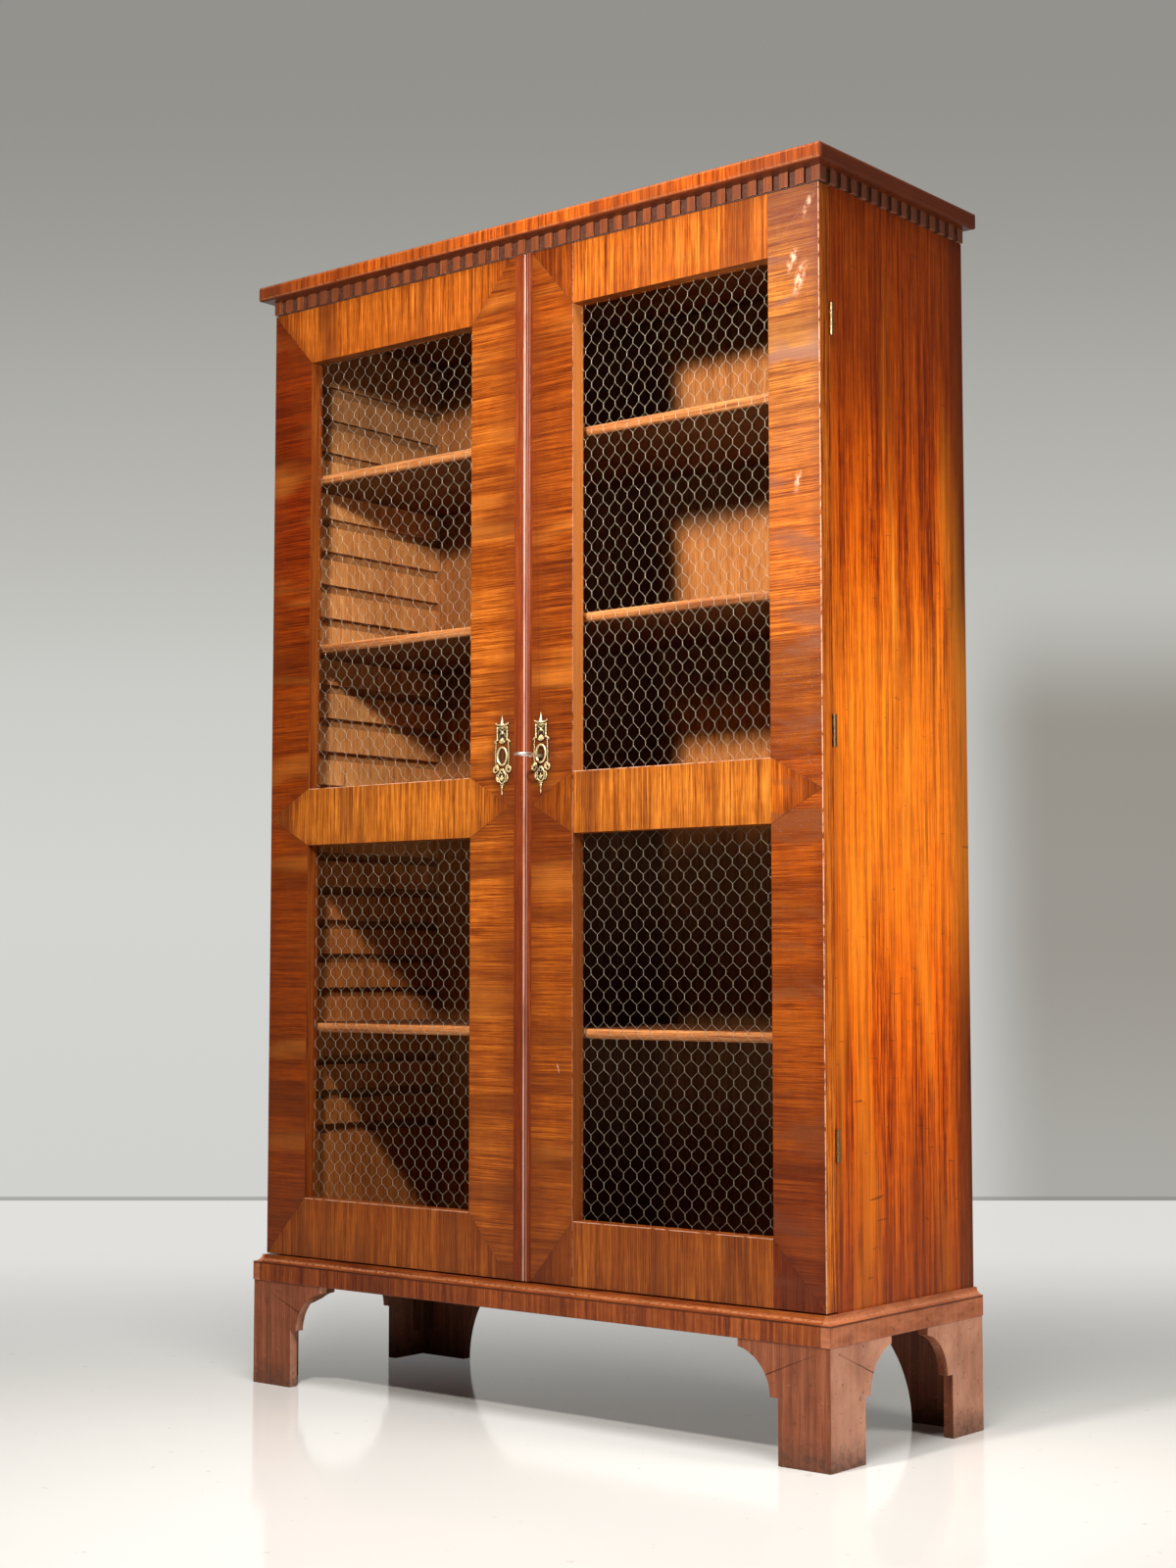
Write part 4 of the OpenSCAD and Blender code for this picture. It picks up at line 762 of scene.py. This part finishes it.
def netPiece(node, body, seed):
    # every wire runs up the panel and twists with its left and its right neighbour in turn
    n = dict(netting, cell=meshes[node][0], row=meshes[node][1])
    low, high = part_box(node)
    middleY = (low.y + high.y) / 2
    rows = int((high.z - low.z) / n["row"]) + 1
    columns = int((high.x - low.x) / n["cell"]) + 2
    firstX = (low.x + high.x) / 2 - (columns - 1) * n["cell"] / 2
    turns = np.linspace(0, 2 * math.pi, 7)
    shapes = []
    for column in range(columns):
        for hand in (1, -1):
            path = []
            for row in range(rows):
                odd = row % 2
                x = firstX + column * n["cell"] + odd * hand * n["cell"] / 2
                z = low.z + (row + n["first"]) * n["row"]
                x += n["slack"] * math.sin(x * 31 + seed) * math.cos(z * 23 + 2 * seed)
                z += n["slack"] * math.sin(z * 37 + x * 19 + seed)
                start = math.pi * (odd != (hand < 0))
                for turn in turns:
                    aside, deep = n["wind"] * math.cos(start + turn), n["wind"] * math.sin(start + turn)
                    path.append((x + aside, middleY + deep, z + n["twist"] * (turn / math.pi - 1)))
            path = np.array(path)
            path[:, 0] = path[:, 0].clip(low.x + n["insetX"], high.x - n["insetX"])
            path[:, 2] = path[:, 2].clip(low.z + n["insetZ"], high.z - n["insetZ"])
            keep = np.ones(len(path), bool)
            keep[1:] = np.linalg.norm(np.diff(path, axis=0), axis=1) > 1e-5
            if keep.sum() > 3:
                shapes.append(tube(path[keep], n["wire"], n["sides"]))
    addPiece(node + "_wires", shapes, body, "wire", "wire", node)


for index, node in enumerate(meshes):
    netPiece(node, node.split("_")[0] + "_door", 1.7 * index)
print("netting wound")


# escutcheons, worked in millimetres: x across, y towards the viewer as negative, z up from the oval's centre

ornament = {"ground": 1.1, "ovalW": 10.2, "ovalH": 14.4, "rim": 1.9, "hole": 3.6, "holeUp": 7.4,
            "slot": 2.6, "slotDown": -8.2, "voxel": 0.36, "calm": 0.5, "thin": 0.45}


def wholeTurn(count):
    # angles of a full turn
    return np.linspace(0, 2 * math.pi, count, endpoint=False)


def curl(x, z, start, turns, outer, inner, high):
    # spiral scroll as a path, wound round (x, z)
    count = 26
    path = []
    for i in range(count):
        share = i / (count - 1)
        reach = outer + (inner - outer) * share
        turn = start + turns * 2 * math.pi * share
        path.append((x + reach * math.cos(turn), -high, z + reach * math.sin(turn)))
    return path


def keyPlate():
    # oval ground with the keyhole through it
    o = ornament
    curve = bpy.data.curves.new("keyPlate", "CURVE")
    curve.dimensions, curve.fill_mode, curve.extrude = "2D", "BOTH", o["ground"] / 2
    oval = [(o["ovalW"] * math.cos(a), o["ovalH"] * math.sin(a)) for a in wholeTurn(60)]
    meets = math.asin(o["slot"] / o["hole"])
    hole = [(o["hole"] * math.sin(a), o["holeUp"] + o["hole"] * -math.cos(a))
            for a in np.linspace(meets, 2 * math.pi - meets, 24)]
    foot = [(o["slot"] * math.cos(a), o["slotDown"] + o["slot"] * math.sin(a))
            for a in np.linspace(math.pi, 2 * math.pi, 10)]
    for outline in (oval, hole + foot):
        spline = curve.splines.new("POLY")
        spline.points.add(len(outline) - 1)
        spline.use_cyclic_u = True
        for point, (x, z) in zip(spline.points, outline):
            point.co = (x, z, 0, 1)
    holder = bpy.data.objects.new("keyPlate", curve)
    mesh = bpy.data.meshes.new_from_object(holder)
    points = [(v.co.x, -o["ground"] / 2 - v.co.z, v.co.y) for v in mesh.vertices]
    faces = [tuple(p.vertices) for p in mesh.polygons]
    bpy.data.objects.remove(holder)
    return points, faces


def escutcheonShapes():
    o = ornament
    shapes = [keyPlate()]

    def bar(points, radii, sides=8, closed=False):
        shapes.append(tube(points, radii, sides, closed))

    def pair(points, radii):
        # a bar and its mirror image
        bar(points, radii)
        bar([(-x, y, z) for x, y, z in points], radii)

    def ball(*values):
        shapes.append(bead(*values))

    ring = [(o["ovalW"] * math.cos(a), -1.6, o["ovalH"] * math.sin(a)) for a in wholeTurn(56)]
    bar(ring, o["rim"], 10, True)
    bar([(x * 0.74, -1.2, z * 0.92) for x, y, z in ring], 0.75, 6, True)
    # beaded sides
    for side in (-1, 1):
        for i in range(14):
            z = 25 - 40 * i / 13
            ball((side * (13.3 + 0.9 * math.cos(z / 14)), -1.2, z), (1.45, 1.7, 1.45), 10, 7)
    pair([(13.0, -0.6, 26), (13.9, -0.6, 16), (14.1, -0.6, 4), (13.4, -0.6, -8), (12.4, -0.6, -16)],
         [1.3, 1.3, 1.2, 1.3, 1.5])
    # ears under the neck
    pair([(8.5, -1.1, 26.5), (12.0, -1.3, 26.8), (15.0, -1.4, 25.0), (16.6, -1.4, 22.4)], [1.5, 1.6, 1.5, 1.3])
    # crown
    crown = [(-13.4, -1.9, 54.8), (-13.0, -1.8, 53.2), (-10.5, -1.8, 52.0), (-6.0, -1.9, 51.2), (0, -2.1, 51.0)]
    crown += [(-x, y, z) for x, y, z in crown[-2::-1]]
    bar(crown, [0.9, 1.3, 1.5, 1.8, 2.1, 1.8, 1.5, 1.3, 0.9], 10)
    bar([(-11.8, -1.1, 47.6), (0, -1.3, 47.2), (11.8, -1.1, 47.6)], [1.3, 1.5, 1.3])
    bar([(0, -1.7, 50), (0, -1.9, 53), (0, -1.8, 56), (0, -1.5, 59), (0, -1.3, 63), (0, -1.2, 67)],
        [4.8, 3.8, 2.7, 2.0, 1.4, 1.0], 12)
    ball((0, -1.5, 58.2), (2.6, 1.7, 0.9))
    # neck
    pair([(11.0, -1.2, 48.5), (10.4, -1.3, 42), (10.6, -1.3, 34), (10.2, -1.2, 26)], [1.9, 1.5, 1.6, 1.9])
    pair([(8.6, -1.0, 46.5), (5.2, -1.2, 43.6), (0.0, -1.5, 40.0), (-4.8, -1.3, 36.0), (-6.4, -1.1, 31.5),
          (-3.6, -1.1, 28.6)], [0.9, 1.2, 1.2, 1.1, 1.0, 0.8])
    ball((0, -0.1, 37), (10.8, 0.95, 13.0), 18, 10)
    ball((0, -1.4, 45.6), (3.4, 1.5, 1.7), 12, 8)
    ball((0, -1.8, 38.6), (1.7, 1.6, 3.4), 12, 8)
    for z in (44.8, 40.2, 36.0, 31.6):
        for side in (-1, 1):
            ball((side * 10.6, -1.6, z), (1.9, 1.5, 1.2), 10, 7)
    # leaf over the oval
    ball((0, -0.9, 26.5), (5.2, 1.4, 5.6))
    for i in range(-3, 4):
        lean, tip = i * 0.36, 10.5 - abs(i) * 0.9
        bar([(math.sin(lean) * tip * s, -1.2 - 1.0 * math.sin(math.pi * s), 20.5 + math.cos(lean) * tip * s)
             for s in (0.0, 0.35, 0.7, 1.0)], [0.8, 1.0, 1.1, 0.8], 6)
    # scrolls beside the foot of the oval
    for side in (-1, 1):
        path = [(side * x, y, z) for x, y, z in curl(14.0, -22.0, math.radians(110), -1.35, 5.3, 2.4, 1.5)]
        bar(path, np.linspace(1.7, 1.1, len(path)))
        bar([(side * 11.5, -1.2, -14), (side * 9.0, -1.3, -18), (side * 7.0, -1.2, -24)], [1.6, 1.9, 1.5])
    # fluted bell
    ball((0, -0.5, -33), (8.4, 0.9, 13.2), 18, 12)
    # its shell: a bright rim, three raised leaves and dark hollows between
    bar([(7.4 * math.cos(a), -1.9, -33.5 + 11.0 * math.sin(a)) for a in wholeTurn(36)], 1.25, 8, True)
    for lean, reach in ((-0.9, 6.5), (0.0, 8.0), (0.9, 6.5)):
        bar([(math.sin(lean) * reach * s * 0.75, -1.6 - 0.9 * math.sin(math.pi * s),
              -40.5 + math.cos(lean) * reach * s + 2 * s) for s in (0.0, 0.3, 0.6, 0.85, 1.0)],
            [0.9, 1.2, 1.3, 1.1, 0.7])
    pair([(1.4, -1.6, -20.0), (3.4, -2.1, -23.5), (3.0, -2.1, -27.0), (1.0, -1.7, -28.6)], [0.9, 1.2, 1.1, 0.8])
    pair([(8.2, -1.1, -27.5), (11.4, -1.4, -31.5), (12.2, -1.4, -36.5), (9.6, -1.4, -41.0), (6.4, -1.3, -42.0)],
         [1.1, 1.5, 1.6, 1.4, 1.0])
    for side in (-1, 1):
        ball((side * 10.8, -1.5, -36.2), (1.9, 1.4, 2.4))
    bar([(-4.4, -1.5, -46.6), (0, -1.9, -47.6), (4.4, -1.5, -46.6)], [1.0, 1.3, 1.0])
    # knob and lower spear
    ball((0, -1.5, -51.0), (2.5, 2.0, 2.2))
    bar([(0, -1.3, -52), (0, -1.2, -56), (0, -1.3, -61), (0, -1.0, -66.5)], [1.8, 1.2, 1.7, 0.5], 10)
    return shapes


def castMesh(name, shapes, centreX, centreZ):
    # the shapes run together like a casting, flat at the back
    rough = makeMesh(name + "Rough", shapes)
    holder = bpy.data.objects.new(name + "Rough", rough)
    scene.collection.objects.link(holder)
    remesh = holder.modifiers.new("remesh", "REMESH")
    remesh.mode, remesh.voxel_size = "VOXEL", ornament["voxel"]
    calm = holder.modifiers.new("calm", "SMOOTH")
    calm.factor, calm.iterations = ornament["calm"], 1
    thin = holder.modifiers.new("thin", "DECIMATE")
    thin.ratio = ornament["thin"]
    evaluated = holder.evaluated_get(bpy.context.evaluated_depsgraph_get())
    mesh = bpy.data.meshes.new_from_object(evaluated)
    mesh.name = name
    bpy.data.objects.remove(holder)
    for vertex in mesh.vertices:
        vertex.co.y = min(vertex.co.y, 0.0)
    mesh.transform(Matrix.Translation((centreX, faceY, centreZ)) @ Matrix.Scale(mm, 4))
    mesh.materials.clear()
    return mesh


casting = escutcheonShapes()
for side, centreX in (("left", doorPlan["blindX"]), ("right", doorPlan["lockX"])):
    mesh = castMesh(side + "_casting", casting, centreX, doorPlan["lockZ"])
    addPiece(side + "_escutcheon_casting", mesh, side + "_door", "brass", "gilt", side + "_escutcheon")
print("escutcheons cast")


# screws and nails

screws = {"proud": 0.12 * mm, "sunk": 0.3 * mm, "slot": 0.45 * mm, "seat": 0.01 * mm}
hinges = {"centres": (0.46, 1.06675, 1.684), "screws": ((0.5725, -0.0165), (0.5795, 0.0), (0.5725, 0.0165)),
          "case": -0.15525, "door": -0.15575, "radius": 2.9 * mm}
lock = {"inset": 3.6 * mm, "radius": 2.4 * mm}
guides = {"fromEnd": 36 * mm, "out": 11.5 * mm, "up": 17 * mm, "thick": 2 * mm, "radius": 2.1 * mm}
nails = {"levels": ("case_bottom", "shelf_middle", "case_top"), "radii": (2.4 * mm, 0.35 * mm, 2.4 * mm),
         "uneven": 2.5 * mm,
         "across": (-0.545, -0.372, -0.306, -0.15, -0.086, 0.064, 0.13, 0.284, 0.35, 0.545)}


def prism(outline, y0, y1):
    count = len(outline)
    points = [(x, y0, z) for x, z in outline] + [(x, y1, z) for x, z in outline]
    faces = [tuple(range(count)), tuple(range(2 * count - 1, count - 1, -1))]
    faces += [(i, i + count, (i + 1) % count + count, (i + 1) % count) for i in range(count)]
    return points, faces


def screwHead(x, y, z, face, turn, radius):
    # countersunk head with its slot; face is -1 towards the front, 1 towards the back
    def rim(angles):
        return [(x + radius * math.cos(a), z + radius * math.sin(a)) for a in angles]

    shapes = [prism(rim(wholeTurn(20)), y - face * screws["sunk"], y + face * screws["seat"])]
    half = math.asin(screws["slot"] / radius)
    for flip in (0, math.pi):
        arc = rim(np.linspace(half, math.pi - half, 11) + turn + flip)
        shapes.append(prism(arc, y, y + face * screws["proud"]))
    return shapes


def addScrews(name, body, finish, spots):
    # each spot is the x, y, z, face, turn and radius of one head
    shapes = [shape for spot in spots for shape in screwHead(*spot)]
    addPiece(name, shapes, body, finish, finish, smooth=False)


for name, body, sides, leaf, face in (("case_hinge_screws", "cabinet", (-1, 1), "case", -1),
                                      ("left_hinge_screws", "left_door", (-1,), "door", 1),
                                      ("right_hinge_screws", "right_door", (1,), "door", 1)):
    addScrews(name, body, "brass", [
        (side * out, hinges[leaf], z + up, face, 0.7 * i + 5 * z + side, hinges["radius"])
        for side in sides for z in hinges["centres"] for i, (out, up) in enumerate(hinges["screws"])])

low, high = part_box("lock_cover")
addScrews("lock_screws", "right_door", "steel", [
    (x, high.y, z, 1, 30 * x + 9 * z, lock["radius"])
    for x in (low.x + lock["inset"], high.x - lock["inset"])
    for z in (low.z + lock["inset"], high.z - lock["inset"])])
low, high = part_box("bolt_guides")
addScrews("guide_screws", "left_door", "brass", [
    ((low.x + high.x) / 2 + out, hinges["door"] + guides["thick"], z + up, 1, 300 * out + 7 * z + up,
     guides["radius"])
    for z in (low.z + guides["fromEnd"], high.z - guides["fromEnd"])
    for out in (-guides["out"], guides["out"]) for up in (-guides["up"], guides["up"])])

# the back boards are nailed beside every joint
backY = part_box("back_boards")[1].y
shapes = []
for row, level in enumerate(nails["levels"]):
    low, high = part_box(level)
    for i, x in enumerate(nails["across"]):
        uneven = nails["uneven"] * math.sin(7 * i + 3 * row)
        shapes.append(bead((x + uneven, backY, (low.z + high.z) / 2 + uneven), nails["radii"], 12, 6))
addPiece("back_nails", shapes, "cabinet", "steel", "steel")
print("screws and nails set")


# camera, room and lamps

view = {"place": (2.5232, -3.07675, 0.7182), "turn": 0.6888, "tilt": 0.0772, "lens": 54.594, "sensor": 36}
cameraData = bpy.data.cameras.new("camera")
cameraData.lens, cameraData.sensor_width = view["lens"], view["sensor"]
camera = bpy.data.objects.new("camera", cameraData)
camera.location = view["place"]
camera.rotation_euler = (math.pi / 2 + view["tilt"], 0, view["turn"])
scene.collection.objects.link(camera)
scene.camera = camera

room = {"ahead": 3.46, "behind": -14.0, "wide": 14.0}
sine, cosine = math.sin(view["turn"]), math.cos(view["turn"])
ahead, aside = Vector((-sine, cosine, 0)), Vector((cosine, sine, 0))
corners = [ahead * room[end] + aside * room["wide"] * side
           for end, side in (("behind", -1), ("behind", 1), ("ahead", 1), ("ahead", -1))]
floorMesh = makeMesh("floor", [(corners, [(0, 1, 2, 3)])])


def floorPaint(shade, x, y, z):
    # glossy pale paint; its far part is a plain backdrop for the camera only
    cloud = shade.noise(x * 1.3, y * 1.3, 0.0, 3, 0.6)
    speck = shade.fade(shade.noise(x * 34, y * 34, 0.0, 2, 0.5), 0.71, 0.74)
    shade.colour = shade.blend(cloud, (0.83, 0.82, 0.795), (0.88, 0.87, 0.845))
    shade.coat(speck * 0.25, (0.35, 0.33, 0.3))
    paint = {"Base Color": shade.colour, "Roughness": 0.07 + cloud * 0.05, "Specular IOR Level": 0.75}
    painted = shade.node("ShaderNodeBsdfPrincipled", paint)
    plain = shade.node("ShaderNodeEmission", {"Color": (0.8, 0.792, 0.772), "Strength": 1.0})
    onlySeen = shade.node("ShaderNodeLightPath", (), "Is Camera Ray")
    away = x * -sine + y * cosine
    amount = onlySeen * shade.fade(away, -0.1, 2.2, 0.01, 0.88)
    backdrop = shade.node("ShaderNodeMixShader", [amount, painted, plain])
    shade.node("ShaderNodeOutputMaterial", [backdrop])


floorMesh.materials.append(newFinish("floor paint", floorPaint))
floor = bpy.data.objects.new("floor", floorMesh)
scene.collection.objects.link(floor)
floor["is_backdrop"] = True

# heights and colours of the wall, from the floor upwards
wallTones = [(0.0, (0.64, 0.64, 0.62)), (0.2, (0.66, 0.66, 0.64)), (0.45, (0.6, 0.6, 0.57)),
             (0.62, (0.5, 0.496, 0.465)), (0.8, (0.42, 0.416, 0.388)), (1.0, (0.292, 0.287, 0.267))]
world = bpy.data.worlds.new("studio")
world.use_nodes = True
scene.world = world
shade = Shade(world.node_tree, "Generated")
x, y, z = shade.spot
forward = y * cosine - x * sine
bearing = (x * cosine + y * sine) / forward.most(0.05)
rise = z / forward.most(0.05)
shade.colour = shade.ramp(shade.fade(rise, -0.12, 0.4), wallTones)
# a soft shadow lies on the wall right of the cabinet, and a dark line where it meets the floor
shadow = shade.fade(bearing, 0.14, 0.195) * shade.fade(rise, 0.172, 0.098)
shadow = shadow * shade.fade(rise, -0.1, 0.02, 0.72, 1.0)
shade.coat(shadow * 0.68, (0.17, 0.144, 0.106))
skirting = shade.fade(abs(rise + 0.0958), 0.0013, 0.0005)
shade.coat(skirting * 0.55, (0.2, 0.195, 0.18))
# the camera sees the wall, smooth surfaces mirror it most straight ahead, and the rest gets a faint light
strength = shade.fade(forward, 0.4, 0.8, 0.25, 0.95)
seen = shade.node("ShaderNodeBackground", {"Color": shade.colour, "Strength": 1.0})
mirrored = shade.node("ShaderNodeBackground", {"Color": shade.colour, "Strength": strength})
lit = shade.node("ShaderNodeBackground", {"Color": (1.0, 0.97, 0.93), "Strength": 0.014})
direct, glossy, through = (shade.node("ShaderNodeLightPath", (), f"Is {kind} Ray")
                           for kind in ("Camera", "Glossy", "Transmission"))
mixed = shade.node("ShaderNodeMixShader", [glossy.most(through), lit, mirrored])
mixed = shade.node("ShaderNodeMixShader", [direct, mixed, seen])
shade.node("ShaderNodeOutputWorld", [mixed])

lamps = {
    "nearKey": {"place": (0.4, -1.34, 1.84), "aim": (0.0, 0.1, 0.9), "size": 0.15, "power": 31.0,
                "colour": (1.0, 0.96, 0.9)},
    "sideSoft": {"place": (1.42, 0.0, 1.0), "aim": (0.586, 0.06, 0.96), "size": 0.36, "power": 10.5,
                 "colour": (1.0, 0.96, 0.9)},
    "overhead": {"place": (1.0, -1.35, 3.8), "aim": (1.0, -1.3, 0.0), "size": 1.8, "power": 140.0,
                 "colour": (1.0, 0.99, 0.97)},
}
for name, values in lamps.items():
    light = bpy.data.lights.new(name, "AREA")
    light.shape, light.size = "DISK", values["size"]
    light.energy, light.color = values["power"], values["colour"]
    lamp = bpy.data.objects.new(name, light)
    lamp.location = values["place"]
    aim = Vector(values["aim"]) - lamp.location
    lamp.rotation_euler = aim.to_track_quat("-Z", "Y").to_euler()
    lamp.visible_camera = False
    lamp.visible_glossy = name != "sideSoft"  # its mirror image on the floor would show
    scene.collection.objects.link(lamp)
scene.view_settings.view_transform = "Standard"
print("camera and lamps ready")

low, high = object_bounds()
